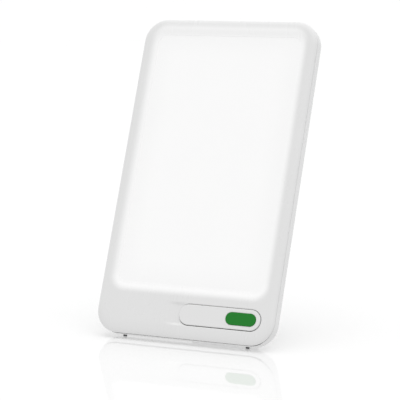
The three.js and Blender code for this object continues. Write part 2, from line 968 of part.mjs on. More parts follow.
// Control board with its soldered parts.
function controlBoard() {
  const ring = boxRing(boardLeft, boardRight, boardBottom, boardTop, boardThickness, 0, slotSteps);
  const onBoard = boardFront - boardThickness / 2;
  const middle = (boardLeft + boardRight) / 2;
  const chip = slab(
    boardRight - boardScrewInset - chipSize,
    boardRight - boardScrewInset,
    boardBottom + boardScrewInset - chipSize / 2,
    boardBottom + boardScrewInset + chipSize / 2,
    onBoard,
    boardFront + chipHeight,
  );
  const coil = slab(
    boardRight - boardScrewInset - coilSize,
    boardRight - boardScrewInset,
    keyMiddle - coilSize / 2,
    keyMiddle + coilSize / 2,
    onBoard,
    boardFront + coilHeight,
  );
  const plugs = [middle - 2 * plugWidth, middle + plugWidth].map((left) =>
    slab(left, left + plugWidth, boardTop - plugDepth, boardTop, onBoard, boardFront + plugHeight),
  );
  const capacitor = rod(
    boardLeft + boardScrewInset + capRadius,
    keyMiddle,
    capRadius,
    onBoard,
    boardFront + capHeight,
  );
  const holes = boardPosts.map(([x, y]) =>
    rod(x, y, boardScrewShank + clearance, boardBack - overrun, boardFront + overrun),
  );
  const board = prism(ring, boardBack, boardFront);
  return without(joined(board, chip, coil, ...plugs, capacitor), ...holes);
}

function switchBody() {
  const half = switchWidth / 2;
  const body = slab(
    switchAcross - half,
    switchAcross + half,
    keyMiddle - half,
    keyMiddle + half,
    switchFoot,
    switchTop,
  );
  const bore = rod(
    switchAcross,
    keyMiddle,
    plungerRadius + clearance,
    switchFoot + switchFloor,
    switchTop + overrun,
  );
  return without(body, bore);
}

function switchPlunger() {
  return rod(switchAcross, keyMiddle, plungerRadius, plungerFoot, plungerTop);
}

function pivotPin() {
  return rodUp(pivotAcross, pivotLevel, pivotRadius, pinBottom, pinTop);
}

// Power inlet: a square body on the back of the board and a round barrel through the cover.
function dcJack() {
  const half = jackBody / 2;
  const mouth = coverBack + jackBack;
  const body = slab(
    jackAcross - half,
    jackAcross + half,
    jackUp - half,
    jackUp + half,
    coverInside + clearance,
    boardFootLevel,
  );
  const barrel = rod(jackAcross, jackUp, jackBarrel, mouth, coverInside + overrun, barrelSides);
  const bore = rod(jackAcross, jackUp, jackBore, mouth - overrun, mouth + jackBoreDepth, barrelSides);
  const pin = rod(jackAcross, jackUp, jackPin, mouth + overrun, mouth + jackBoreDepth + bury);
  return joined(without(joined(body, barrel), bore), pin);
}

// An insulated lead swept along a smooth route through the given points.
function lead(points) {
  const route = new THREE.CatmullRomCurve3(points.map(([x, y, z]) => new THREE.Vector3(x, y, z)));
  const section = new THREE.Shape();
  section.absarc(0, 0, leadRadius, 0, 2 * Math.PI);
  const steps = Math.ceil(route.getLength() / leadStep);
  return new THREE.ExtrudeGeometry(section, {
    extrudePath: route,
    steps,
    curveSegments: leadSides / 2,
    bevelEnabled: false,
  });
}

function ledLeads() {
  const middle = (boardLeft + boardRight) / 2;
  const start = boardTop + clearance;
  const end = guideBottom;
  const edge = stripBack - ledDepth;
  const fromPlug = boardFront + plugHeight / 2;
  const leftPlug = middle - 1.5 * plugWidth;
  const rightPlug = middle + 1.5 * plugWidth;
  const left = [
    [leftPlug, start, fromPlug],
    [leftPlug, start + leadBow / 2, fromPlug],
    [leftPlug - 2 * leadBow, leadRow, leadLevel],
    [0, leadRow, leadLevel],
    [-edge + 2 * leadBow, leadRow, leadLevel],
    [-edge + leadBow / 2, leadRow + leadBow / 4, leadLevel],
    [-edge, leadRow + leadBow, leadLevel],
    [-edge, end, leadLevel],
  ];
  const right = [
    [rightPlug, start, fromPlug],
    [rightPlug, start + leadBow / 2, fromPlug],
    [edge - leadBow / 2, leadRow, leadLevel],
    [edge, leadRow + leadBow, leadLevel],
    [edge, end, leadLevel],
  ];
  return [lead(left), lead(right)];
}

// Rear leg, in its own frame: the hinge axis is x, the leg hangs along -y, and z points to the panel.
const legRing = boxRing(-legWidth / 2, legWidth / 2, -legEnd, legHeel, legCorner, 0, blockSteps);
function padSlot(side) {
  const middle = side * padOffset;
  const half = padLength / 2 + clearance;
  return slab(
    middle - half,
    middle + half,
    -legEnd - overrun,
    padSeat - legEnd,
    padBack - clearance,
    padFront + clearance,
  );
}

function standPad(side) {
  const profile = new THREE.Shape();
  profile.moveTo(padBack, floorAt(padBack));
  profile.lineTo(padFront, floorAt(padFront));
  profile.lineTo(padFront, padSeat - clearance - legEnd);
  profile.lineTo(padBack, padSeat - clearance - legEnd);
  profile.closePath();
  const pad = new THREE.ExtrudeGeometry(profile, { depth: padLength, bevelEnabled: false });
  pad.rotateY(-Math.PI / 2);
  pad.translate(side * padOffset + padLength / 2, 0, 0);
  return pad;
}

function standLeg() {
  const plate = prism(legRing, -legOuter, legPlate - legOuter);
  const inner = grown(legRing, -legRim, 0);
  const rimSpan = slab(-legWidth, legWidth, -legReach, 0, -legOuter, legRimTop);
  const rim = hoop(legRing, inner, bury - legOuter, legRimTop).intersect(rimSpan);
  const half = ribThickness / 2;
  const longRibs = [-1, 1].map((side) => {
    const x = side * legRibOffset;
    return slab(x - half, x + half, legRim - legEnd, 0, bury - legOuter, legRibHeight);
  });
  const crossRibs = legCrossRibShares.map((share) => {
    const y = -share * legEnd;
    const reach = legWidth / 2 - legRim / 2;
    return slab(-reach, reach, y - half, y + half, bury - legOuter, legRibHeight);
  });
  const heel = slab(
    -legWidth / 2 + legCorner,
    legWidth / 2 - legCorner,
    0,
    legHeel,
    -legOuter,
    legHeelThickness - legOuter,
  );
  const reach = padLength / 2 + legRim;
  const blocks = [-1, 1].map((side) => {
    const x = side * padOffset;
    return slab(x - reach, x + reach, -legEnd, padBlock - legEnd, -legOuter, legRimTop);
  });
  const barrel = rodAcross(0, 0, barrelRadius, -legWidth / 2, legWidth / 2, barrelSides);
  const bore = rodAcross(0, 0, hingePinRadius + clearance, -legWidth, legWidth);
  const envelope = prism(legRing, -barrelRadius, barrelRadius);
  const whole = joined(plate, rim, ...longRibs, ...crossRibs, heel, ...blocks).intersect(envelope);
  return without(joined(whole, barrel), bore, padSlot(-1), padSlot(1));
}

function hingePin() {
  const end = recessHalf + hingePinEnd;
  return rodAcross(0, 0, hingePinRadius, -end, end);
}

// A washer on the hinge pin, beside the leg.
function frictionWasher(side) {
  const inner = hingePinRadius + clearance;
  const start = legWidth / 2 + clearance;
  const middle = side * (start + washerThickness / 2);
  const half = washerThickness / 2;
  const ring = rodAcross(0, 0, barrelRadius, middle - half, middle + half, barrelSides);
  return without(ring, rodAcross(0, 0, inner, middle - legGap, middle + legGap));
}

// Assembly: what is fixed in the panel, then the leg on its hinge, then the feet.

const panel = new THREE.Group();
panel.rotation.x = faceTurn;
panel.position.z = partingHeight;

panel.add(piece("front_frame", frontFrame(), white));
panel.add(piece("rear_cover", rearCover(), white));
panel.add(piece("diffuser_panel", diffuserPanel(), opal));
panel.add(piece("light_guide_plate", prism(sheetRing(guideHalf), guideBack, guideFront), clearAcrylic));
panel.add(piece("reflector_sheet", prism(sheetRing(stripBack), reflectorBack, reflectorFront), film));
panel.add(piece("light_tray", lightTray(), sheetMetal));
panel.add(piece("led_strip_left", ledStrip(-1), stripBoard));
panel.add(piece("led_strip_right", ledStrip(1), stripBoard));

const [leadLeft, leadRight] = ledLeads();
panel.add(piece("control_board", controlBoard(), boardGreen));
panel.add(piece("push_switch_body", switchBody(), blackPlastic));
panel.add(piece("switch_plunger", switchPlunger(), keyGreen));
panel.add(piece("dc_jack", dcJack(), blackPlastic));
panel.add(piece("led_lead_left", leadLeft, leadSheath));
panel.add(piece("led_lead_right", leadRight, leadSheath));

panel.add(piece("power_key", powerKey(), white));
panel.add(piece("key_lens", keyLens(), keyGreen));
panel.add(piece("key_pivot_pin", pivotPin(), steel));

const coverScrew = {
  shank: screwShank,
  head: screwHead,
  headHeight: screwHeadHeight,
  length: -screwSeat,
};
screwPlaces.forEach((place, index) => {
  panel.add(piece(`cover_screw_${index + 1}`, screw(place, screwSeat, 1, coverScrew), steel));
});

const boardScrew = {
  shank: boardScrewShank,
  head: boardScrewHead,
  headHeight: boardScrewHeadHeight,
  length: boardScrewLength,
};
boardPosts.forEach((place, index) => {
  const seat = boardFront + clearance;
  panel.add(piece(`board_screw_${index + 1}`, screw(place, seat, -1, boardScrew), steel));
});

const hinge = new THREE.Group();
hinge.position.set(0, hingeUp, hingeLevel);
panel.add(hinge);
hinge.add(piece("stand_hinge_pin", hingePin(), steel));
hinge.add(piece("friction_washer_left", frictionWasher(-1), steel));
hinge.add(piece("friction_washer_right", frictionWasher(1), steel));

const stand = new THREE.Group();
stand.rotation.x = legOpen;
hinge.add(stand);
stand.add(piece("stand_leg", standLeg(), white));
stand.add(piece("stand_pad_left", standPad(-1), rubber));
stand.add(piece("stand_pad_right", standPad(1), rubber));

const standing = new THREE.Group();
standing.add(panel);
standing.add(piece("foot_left", footSolid(-1, 0, 0, footHeight), rubber));
standing.add(piece("foot_right", footSolid(1, 0, 0, footHeight), rubber));

// The origin goes to the floor under the middle of the lamp's depth.
const extent = new THREE.Box3().setFromObject(standing, true);
standing.position.y = -(extent.min.y + extent.max.y) / 2;

const lamp = new THREE.Group();
lamp.add(standing);

export default lamp;
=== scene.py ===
import json
import math
from dataclasses import dataclass, replace

import bmesh
import bpy
from bpy.props import FloatProperty, FloatVectorProperty, IntProperty, PointerProperty
from mathutils import Matrix, Vector


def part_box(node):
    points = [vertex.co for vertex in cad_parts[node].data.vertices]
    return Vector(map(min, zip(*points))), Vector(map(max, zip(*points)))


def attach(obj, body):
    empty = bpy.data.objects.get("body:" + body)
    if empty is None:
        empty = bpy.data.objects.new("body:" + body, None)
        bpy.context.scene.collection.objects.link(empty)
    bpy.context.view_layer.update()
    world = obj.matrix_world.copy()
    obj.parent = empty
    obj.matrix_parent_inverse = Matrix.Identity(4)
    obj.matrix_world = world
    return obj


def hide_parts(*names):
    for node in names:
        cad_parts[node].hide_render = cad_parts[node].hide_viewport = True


bl_info = {
    "name": "Light Therapy Lamp",
    "version": (1, 0, 0),
    "blender": (4, 5, 0),
    "location": "3D View > Sidebar > Lamp",
    "description": "Builds a slim light panel with a press key, leaning on a fold-out rear leg",
    "category": "Add Mesh",
}

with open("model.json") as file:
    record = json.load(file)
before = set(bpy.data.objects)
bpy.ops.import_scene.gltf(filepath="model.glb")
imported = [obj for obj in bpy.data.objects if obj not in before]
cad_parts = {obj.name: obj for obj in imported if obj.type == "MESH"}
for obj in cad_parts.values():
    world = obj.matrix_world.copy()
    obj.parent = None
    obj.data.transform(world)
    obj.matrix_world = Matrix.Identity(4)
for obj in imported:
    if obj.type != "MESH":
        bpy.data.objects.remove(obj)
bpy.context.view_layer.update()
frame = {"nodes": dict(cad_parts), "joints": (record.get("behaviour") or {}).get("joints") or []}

# Fineness of the round forms, and the least z of a normal that faces the front
CORNER_STEPS = 20
SMALL_CORNER_STEPS = 8
ROLL_STEPS = 16
BEVEL_STEPS = 20
EDGE_STEPS = 5
HEAD_STEPS = 4
SMALL_EDGE_STEPS = 3
ROUND_SIDES = 64
SMALL_SIDES = 40
SHARP_ANGLE = math.radians(32)
SOFTENED_ANGLE = math.radians(40)
FLAT_ANGLE = math.radians(1)
LEAST_FACING = 0.5

# Small lengths that keep cuts and joins clean, and one that reaches past every piece
OVERRUN = 0.001
BURY = 0.0005
STEP_BACK = BURY / 5
INLAY_BED = BURY / 10
CAD_SPOT = 1e-6
SAME_SPOT = 1e-7
FAR = 1

# The panel's own frame: x across, y up the face from the panel's lower edge, z out of the joint
CREST = 0.005
JOINTS = {joint["name"]: joint for joint in frame["joints"]}
ACROSS = Vector((1, 0, 0))
UP = Vector(JOINTS["key_press"]["axis"]).normalized()
OUT = ACROSS.cross(UP)


def box_in(place, node):
    """Lowest and highest corner of a CAD node, seen in the frame that a matrix places."""
    inverse = place.inverted()
    corners = [inverse @ vertex.co for vertex in frame["nodes"][node].data.vertices]
    low = Vector([min(corner[axis] for corner in corners) for axis in range(3)])
    high = Vector([max(corner[axis] for corner in corners) for axis in range(3)])
    return low, high


def middle_of(low, high):
    """The middle of a box across the face."""
    return ((low + high) / 2).xy.to_3d()


TILT = Matrix((ACROSS, UP, OUT)).transposed().to_4x4()
FOOT_OF_FACE = box_in(TILT, "rear_cover")[0].y
FRONT_OF_FACE = box_in(TILT, "front_frame")[1].z
FACE = Matrix.Translation(UP * FOOT_OF_FACE + OUT * (FRONT_OF_FACE - CREST)) @ TILT

PANEL_LOW, PANEL_HIGH = box_in(FACE, "rear_cover")
GLASS_LOW, GLASS_HIGH = box_in(FACE, "diffuser_panel")
KEY_LOW, KEY_HIGH = box_in(FACE, "power_key")
LENS_LOW, LENS_HIGH = box_in(FACE, "key_lens")
PIN_LOW, PIN_HIGH = box_in(FACE, "key_pivot_pin")
PIN_ACROSS, PIN_LEVEL = (PIN_LOW.x + PIN_HIGH.x) / 2, (PIN_LOW.z + PIN_HIGH.z) / 2
PLUNGER_LOW, PLUNGER_HIGH = box_in(FACE, "switch_plunger")
JACK_LOW, JACK_HIGH = box_in(FACE, "dc_jack")
COVER_SCREWS = [f"cover_screw_{index}" for index in range(1, 7)]
BOARD_SCREWS = [f"board_screw_{index}" for index in range(1, 4)]
SCREW_PLACES = [middle_of(*box_in(FACE, node)) for node in COVER_SCREWS]
BOARD_PLACES = [middle_of(*box_in(FACE, node)) for node in BOARD_SCREWS]

# The leg's own frame: the hinge axis is x, the leg hangs along -y, and z points to the panel
FACE_TURN = math.atan2(UP.z, UP.y)
LEG_OPEN = math.radians(max(JOINTS["leg_fold"]["range_deg"]))
HINGE = Vector(JOINTS["leg_fold"]["pos_m"])
LEG = Matrix.Translation(HINGE) @ Matrix.Rotation(FACE_TURN + LEG_OPEN, 4, "X")
HINGE_UP, HINGE_LEVEL = (FACE.inverted() @ HINGE).yz
LEG_LOW, LEG_HIGH = box_in(LEG, "stand_leg")
UPRIGHT = Matrix.Identity(4)
FEET = ("foot_left", "foot_right")
PADS = ("stand_pad_left", "stand_pad_right")
ALONG_X = Matrix.Rotation(math.pi / 2, 3, "Y")
ALONG_Y = Matrix.Rotation(-math.pi / 2, 3, "X")

# Sizes of bought-in parts and of what fits them
CLEARANCE = 0.0003
SCREW_HEAD = 0.0024
SCREW_SHANK = 0.0012
BOARD_SHANK = 0.001
PILOT_DEPTH = 0.01
HEAD_SHARE = 0.6
CROSS_ARM_SHARE = 0.55
CROSS_WIDTH_SHARE = 0.11
CROSS_DEPTH_SHARE = 0.75
THREAD_PITCH = 0.0008
THREAD_DEPTH = 0.00018
JACK_BARREL = 0.004
JACK_BORE = 0.0031
JACK_BORE_DEPTH = 0.008
JACK_PIN = 0.001
LEG_BARREL = 0.0029
LEG_RIB_SHARES = (0.25, 0.5, 0.75)
CROSS_RIB_SHARES = (0.62, 0.82, 0.94)
UPRIGHT_RIB_INSET = 0.034
UPRIGHT_RIB_STEP = 0.0006
LIP_HEIGHT = 0.0007
SHOULDER_SHARE = 0.5

# How far the groove's cutter widens and reaches past the panel, in depths of the groove
GROOVE_TAPER = 2
GROOVE_REACH = 3

# Finishes: the part of a noise that counts, how far the opal's glow fades in, and acrylic
NOISE_LOW, NOISE_HIGH = 0.3, 0.7
FADE_SHARE = 1 / 6
ACRYLIC = (0.93, 0.96, 0.97)
ACRYLIC_IOR = 1.49
WHITE = (1, 1, 1, 1)


# Sizes and colours that a user would change


def length(name, about, default):
    return FloatProperty(name=name, description=about, default=default, unit="LENGTH")


def amount(name, about, default):
    return FloatProperty(name=name, description=about, default=default, min=0)


def angle(name, about, degrees):
    radians = math.radians(degrees)
    return FloatProperty(name=name, description=about, default=radians, subtype="ANGLE")


def tint(name, about, default):
    return FloatVectorProperty(name=name, description=about, default=default, subtype="COLOR")


class LampFrameSizes(bpy.types.PropertyGroup):
    """Front frame: outer roll, soft bevel down to the window, and the key's opening."""

    corner: length("Corner", "Radius of the panel's corners", 0.022)
    wall: length("Wall", "Thickness of the moulded wall", 0.0022)
    side: length("Side", "Height of the straight side in front of the joint", 0.0018)
    roll: length("Roll", "Run of the outer roll at the sides", 0.0056)
    upper_roll: length("Upper roll", "Run of the outer roll above", 0.0072)
    lower_roll: length("Lower roll", "Run of the outer roll below", 0.014)
    joint_gap: length("Joint gap", "Gap between the frame and the cover", 0.0008)
    joint_break: length("Joint edge", "Broken edge along the joint", 0.00035)
    bevel_side: length("Bevel at the sides", "Where the bevel starts at the sides", 0.0064)
    bevel_lower: length("Bevel below", "Where the bevel starts below the window", 0.0386)
    bevel_upper: length("Bevel above", "Where the bevel starts above the window", 0.0088)
    bevel_corner: length("Bevel corner", "Corner radius where the bevel starts", 0.017)
    bevel_depth: length("Bevel depth", "Fall of the bevel from the crest to the window", 0.0024)
    window_side: length("Window at the sides", "Border of the window at the sides", 0.015)
    window_lower: length("Window below", "Border below the window", 0.049)
    window_upper: length("Window above", "Border above the window", 0.0155)
    window_corner: length("Window corner", "Radius of the window's corners", 0.01)
    lip: length("Lip", "Thickness of the lip round the window", 0.0015)
    lip_edge: length("Lip edge", "Rounding of the lip's edge", 0.00015)
    lip_gap: length("Lip gap", "Gap between the lip and the diffuser", 0.00005)
    # Painted glow: the next two set how far the frame's painted glow reaches past the window below
    # and above; it stands in for light falling on the bevel.
    painted_glow_lower: length("Bleed below", "How far the bleed reaches on below the window", 0.0015)
    painted_glow_upper: length("Bleed above", "How far the bleed reaches on above the window", 0.0045)
    seat: length("Seat", "Width of the diffuser's seat", 0.0044)
    seat_step: length("Seat step", "Slope from the seat up to the inner face", 0.0016)
    shoulder: length("Shoulder", "Chamfer inside the outer roll", 0.001)
    boss: length("Boss", "Radius of the screw bosses", 0.0028)
    boss_meet: length("Boss meeting", "Where the bosses of frame and cover meet", 0.006)
    scoop_length: length("Scoop length", "Length of the thumb scoop beside the key", 0.015)
    scoop_depth: length("Scoop depth", "Depth of the thumb scoop at the key", 0.0014)
    scoop_height: length("Scoop height", "Height of the scoop between its walls", 0.0196)
    scoop_wall: length("Scoop wall", "Width of the scoop's soft walls", 0.0032)
    scoop_cell: length("Scoop fineness", "Spacing of the mesh in the scoop", 0.0005)


class LampCoverSizes(bpy.types.PropertyGroup):
    """Rear cover: rolled shell, leg recess, vents, screw seats and inlet hole."""

    side: length("Side", "Height of the straight side behind the joint", 0.008)
    wall: length("Wall", "Thickness of the moulded wall", 0.0022)
    lip_inset: length("Lip inset", "How far in the light lip stands", 0.0025)
    lip_width: length("Lip width", "Thickness of the light lip", 0.001)
    rib: length("Rib", "Thickness of the ribs inside", 0.0016)
    recess_gap: length("Recess gap", "Gap between the leg and its recess", 0.001)
    recess_wall: length("Recess wall", "Thickness of the recess's walls", 0.002)
    recess_lower: length("Recess below", "Height of the recess's lower edge", 0.0074)
    recess_upper: length("Recess above the hinge", "Reach of the recess past the hinge", 0.0068)
    recess_corner: length("Recess corner", "Radius of the recess's lower corners", 0.008)
    recess_edge: length("Recess edge", "Rounding of the recess's rim and floor", 0.0007)
    ear_wall: length("Ear", "Thickness of the hinge ears beside the recess", 0.0056)
    ear_half: length("Ear reach", "Reach of the ears above and below the hinge", 0.0045)
    notch_half: length("Notch half width", "Half the width of the finger notch", 0.012)
    notch_rise: length("Notch rise", "Half the height of the finger notch", 0.007)
    notch_depth: length("Notch depth", "Depth of the finger notch", 0.0042)
    groove: length("Groove", "Width of the groove along the joint below", 0.0011)
    groove_depth: length("Groove depth", "Depth of the groove along the joint below", 0.0014)
    # Painted shade: the joint's dark band stands in for the shade along the lower joint.
    shade_band_sink: length("Seal sink", "How deep the joint's seal lies in its groove", 0.00005)
    vent_count: IntProperty(name="Vents", description="Number of vent slots", default=11, min=1)
    vent_pitch: length("Vent pitch", "Spacing of the vent slots", 0.008)
    vent_width: length("Vent width", "Width of a vent slot", 0.0026)
    vent_length: length("Vent length", "Length of a vent slot", 0.022)
    vent_upper: length("Vents from above", "Distance of the vents from the top", 0.026)
    small_edge: length("Small edge", "Rounding of the rims of vents and screw holes", 0.0003)
    screw_seat: length("Screw seat", "Depth of the screws' seats", 0.0059)
    boss_foot: length("Boss foot", "Radius of the bosses at the back wall", 0.0042)
    post: length("Board post", "Radius of the posts under the control board", 0.0026)
    foot_pad: length("Foot pad", "Wall round the sockets of the feet", 0.0022)


class LampKeySizes(bpy.types.PropertyGroup):
    """Power key, its opening in the frame and its green inlay."""

    thickness: length("Thickness", "Thickness of the key's plate", 0.002)
    edge: length("Edge", "Rounding of the key's edge", 0.0009)
    gap_upper: length("Gap above", "Gap above the key and at its left", 0.0003)
    gap_lower: length("Gap below", "Gap below the key and at its right", 0.00065)
    trim: length("Trim", "What the moulding stays short of its box below and at its right", 0.0006)
    flare: length("Flare", "Rounding of the opening's rim", 0.0009)
    inlay_edge: length("Inlay edge", "Rounding of the inlay's edge", 0.00045)
    inlay_trim: length("Inlay trim", "What the inlay stays short of its box all round", 0.00045)
    inlay_gap: length("Inlay gap", "Gap round the inlay in its pocket", 0.0001)
    inlay_flare: length("Inlay flare", "Rounding of the pocket's rim", 0.0005)
    inlay_sink: length("Inlay pocket", "Depth of the inlay's pocket", 0.0008)
    rib_height: length("Rib height", "Height of the ribs under the key", 0.0011)
    rib_offset: length("Rib offset", "Distance of the ribs from the middle", 0.006)
    rib_inset: length("Rib inset", "Distance of the ribs from the key's right end", 0.008)
    lug: length("Lug", "Radius of the pivot lugs", 0.0023)
    lug_inset: length("Lug inset", "Distance of the lugs from the key's edges", 0.0042)
    ear: length("Ear", "Thickness of the lugs and of the frame's ears", 0.0024)
    pusher: length("Pusher", "Radius of the pusher over the switch", 0.0025)


class LampStandSizes(bpy.types.PropertyGroup):
    """Rear leg, hinge, pads and front feet."""

    corner: length("Corner", "Radius of the leg's corners", 0.008)
    outer: length("Outer face", "Distance of the leg's outer face from the hinge axis", 0.0028)
    plate: length("Plate", "Thickness of the leg's plate", 0.002)
    rim: length("Rim", "Thickness of the leg's rim", 0.0018)
    rim_top: length("Rim reach", "How far the rim reaches past the hinge axis", 0.002)
    rib: length("Rib", "Thickness of the leg's ribs", 0.0016)
    rib_height: length("Rib reach", "How far the ribs reach past the hinge axis", 0.0012)
    rib_offset: length("Rib offset", "Distance of the long ribs from the middle", 0.012)
    edge: length("Edge", "Rounding of the leg's outer edge", 0.001)
    heel: length("Heel", "Thickness of the heel that stops the leg", 0.0025)
    pad_length: length("Pad length", "Length of a rubber pad", 0.018)
    pad_middle: length("Pad place", "Distance of a pad from the leg's middle", 0.021)
    pad_block: length("Pad block", "Height of the block round the pad's slot", 0.007)
    pin: length("Hinge pin", "Radius of the hinge pin", 0.0015)
    foot_corner: length("Foot corner", "Radius of the feet's corners", 0.001)
    foot_trim_side: length("Foot trim", "What a foot stays short of its box at the right", 0.0011)
    foot_trim_front: length(
        "Foot front trim", "What a foot stays short of its box in front", 0.0022
    )
    soft_edge: length("Soft edge", "Rounding of the rubber's edges", 0.0004)


class LampColours(bpy.types.PropertyGroup):
    """Colours of the lamp's finishes."""

    frame_white: tint("Frame", "Moulded front frame", (0.81, 0.81, 0.81))
    cover_white: tint("Cover", "Moulded rear cover", (0.81, 0.81, 0.81))
    key_white: tint("Key", "Moulded power key", (0.81, 0.81, 0.81))
    leg_white: tint("Leg", "Moulded rear leg", (0.8, 0.8, 0.8))
    opal: tint("Diffuser", "Opal sheet", (0.88, 0.88, 0.88))
    glow: amount("Glow", "Light given off by the middle of the diffuser", 0.14)
    rim_glow: amount("Glow at the edge", "Light given off along the diffuser's edge", 0.12)
    # Painted glow: light given off by the frame's bevel round the window, which is no lamp; it
    # stands in for light falling on the bevel.
    painted_glow: amount("Bleed", "Light that shows through the frame's edge round the window", 0.18)
    green: tint("Inlay", "Green inlay of the key", (0.008, 0.2, 0.018))
    black: tint("Black plastic", "Inlet and switch", (0.02, 0.02, 0.022))
    rubber: tint("Rubber", "Feet and pads", (0.035, 0.035, 0.037))
    zinc: tint("Zinc", "Plated screws, pins and washers", (0.62, 0.63, 0.64))
    tray: tint("Tray", "Rolled sheet of the light tray", (0.7, 0.71, 0.72))
    board: tint("Board", "Solder mask of the control board", (0.015, 0.13, 0.05))
    film: tint("Film", "Reflector, strips and sheaths", (0.86, 0.86, 0.84))


class LampStageSettings(bpy.types.PropertyGroup):
    """Floor, light and camera."""

    floor_size: length("Floor", "Width of the floor", 40)
    floor_white: tint("Floor colour", "Colour of the floor", (0.86, 0.86, 0.86))
    floor_lift: amount("Floor lift", "What brings the lit floor up to white for the camera", 0.1)
    floor_roughness: FloatProperty(
        name="Floor roughness",
        description="Blur of the floor's reflection",
        default=0.03,
        min=0,
        subtype="FACTOR",
    )
    floor_gloss: FloatProperty(
        name="Floor gloss",
        description="Index of refraction of the floor's surface",
        default=1.3,
        min=1,
    )
    ambient: amount("Ambient", "Strength of the even light", 0.8)
    overhead: amount("Overhead light", "Strength of the soft light from above", 0.9)
    overhead_spread: angle("Overhead spread", "Width of the soft light", 70)
    overhead_from: FloatVectorProperty(
        name="Overhead from",
        description="Where the soft light comes from",
        default=(0.1, 0, 1),
        subtype="DIRECTION",
    )
    camera_aim: FloatVectorProperty(
        name="Aim",
        description="Point in the middle of the view",
        default=(-0.0078, -0.0065, 0.1271),
        subtype="XYZ",
    )
    camera_turn: angle("Turn", "Camera's turn to the right of the front", 24.6)
    camera_rise: angle("Rise", "Camera's height angle", 8.144)
    camera_distance: length("Distance", "Camera's distance from its aim", 1.639)
    camera_lens: FloatProperty(
        name="Lens", description="Focal length", default=155.42, unit="CAMERA"
    )


# Outlines and lofts


@dataclass(frozen=True)
class Outline:
    """A rectangle with round corners, which may be rounder below than above."""

    left: float
    right: float
    bottom: float
    top: float
    radius: float
    upper_radius: float = None

    def grown(self, by):
        upper = None if self.upper_radius is None else max(self.upper_radius + by, SAME_SPOT)
        return replace(
            self,
            left=self.left - by,
            right=self.right + by,
            bottom=self.bottom - by,
            top=self.top + by,
            radius=max(self.radius + by, SAME_SPOT),
            upper_radius=upper,
        )

    @property
    def middle(self):
        return (self.bottom + self.top) / 2

    @property
    def centre(self):
        return Vector(((self.left + self.right) / 2, self.middle, 0))


def stadium(low, high):
    """The outline with half-round ends that fills a box."""
    return Outline(low.x, high.x, low.y, high.y, (high.y - low.y) / 2)


def panel_outline(side, lower, upper, radius):
    """An outline set in from the panel's own by given amounts."""
    left, right = PANEL_LOW.x + side, PANEL_HIGH.x - side
    return Outline(left, right, PANEL_LOW.y + lower, PANEL_HIGH.y - upper, radius)


def even_outline(inset, corner):
    return panel_outline(inset, inset, inset, corner - inset)


def bevel(bm, geom, width, steps, affect):
    """Rounds corners or edges. Rounds of corners may meet, and those of edges stay apart."""
    bmesh.ops.bevel(
        bm,
        geom=geom,
        offset=width,
        offset_type="OFFSET",
        segments=steps,
        profile=0.5,
        affect=affect,
        clamp_overlap=affect == "EDGES",
        material=-1,
    )


def add_ring(bm, outline, storey, steps):
    """The edges of one outline on one storey: a square whose corners are bevelled round."""
    before = set(bm.edges)
    corners = bmesh.ops.create_grid(bm, x_segments=1, y_segments=1, size=0.5)["verts"]
    scale = (outline.right - outline.left, outline.top - outline.bottom, 1)
    bmesh.ops.scale(bm, verts=corners, vec=scale)
    bmesh.ops.translate(bm, verts=corners, vec=outline.centre + Vector((0, 0, storey)))
    upper = outline.radius if outline.upper_radius is None else outline.upper_radius
    for radius, above in ((outline.radius, False), (upper, True)):
        left = [corner for corner in corners if corner.is_valid]
        chosen = [corner for corner in left if (corner.co.y >= outline.middle) == above]
        bevel(bm, chosen, radius, steps, "VERTICES")
    ring = [edge for edge in bm.edges if edge not in before]
    faces = list({face for edge in ring for face in edge.link_faces})
    bmesh.ops.delete(bm, geom=faces, context="FACES_ONLY")
    return ring


def add_loft(bm, rings, closed=False, steps=CORNER_STEPS):
    """A skin through outlines at their levels, closed in a loop or capped at both ends.

    The outlines are bridged while they stand a metre apart, which keeps each bridge straight.
    """
    loops = [add_ring(bm, outline, storey, steps) for storey, (outline, level) in enumerate(rings)]
    following = loops[1:] + loops[:1] if closed else loops[1:]
    for first, second in zip(loops, following):
        bmesh.ops.bridge_loops(bm, edges=first + second)
    if not closed:
        for end in (loops[0], loops[-1]):
            bmesh.ops.contextual_create(bm, geom=end)
    for loop, (outline, level) in zip(loops, rings):
        for vertex in {vertex for edge in loop for vertex in edge.verts}:
            vertex.co.z = level


def quarter_turn(steps):
    """Sine and cosine at each step of a quarter turn."""
    turns = [math.pi / 2 * step / steps for step in range(steps + 1)]
    return [(math.sin(turn), math.cos(turn)) for turn in turns]


def quarter(outline, level, radius, grow, fall, steps=EDGE_STEPS):
    """Rings of a quarter round, from a flat face at a level round to the side.

    grow is 1 round a hole and -1 round a block. fall is the sign of z from the face inwards.
    """
    return [
        (outline.grown(grow * radius * (1 - sine)), level + fall * radius * (1 - cosine))
        for sine, cosine in quarter_turn(steps)
    ]


def round_top(outline, level, radius, steps=EDGE_STEPS):
    """Rings from a block's side round to its flat front."""
    return quarter(outline, level, radius, -1, -1, steps)[::-1]


def mouth(outline, level, radius, fall, steps=EDGE_STEPS):
    """Rings of a cutter that comes in through a rounded mouth in a flat face."""
    outside = (outline.grown(radius), level - fall * OVERRUN)
    return [outside] + quarter(outline, level, radius, 1, fall, steps)


def turned_quarter(radius, height, edge, grow, fall, steps=SMALL_EDGE_STEPS):
    """The same quarter round, as (radius, height) points of a turned profile."""
    return [
        (radius + grow * edge * (1 - sine), height + fall * edge * (1 - cosine))
        for sine, cosine in quarter_turn(steps)
    ]


# Mesh pieces


def new_solid(name, bm):
    """An object of a bmesh whose doubles are merged and whose faces point out."""
    bmesh.ops.remove_doubles(bm, verts=bm.verts, dist=SAME_SPOT)
    bmesh.ops.recalc_face_normals(bm, faces=bm.faces)
    mesh = bpy.data.meshes.new(name)
    bm.to_mesh(mesh)
    bm.free()
    solid = bpy.data.objects.new(name, mesh)
    bpy.context.scene.collection.objects.link(solid)
    return solid


def loft_solid(name, rings, closed=False, steps=CORNER_STEPS):
    bm = bmesh.new()
    add_loft(bm, rings, closed, steps)
    return new_solid(name, bm)


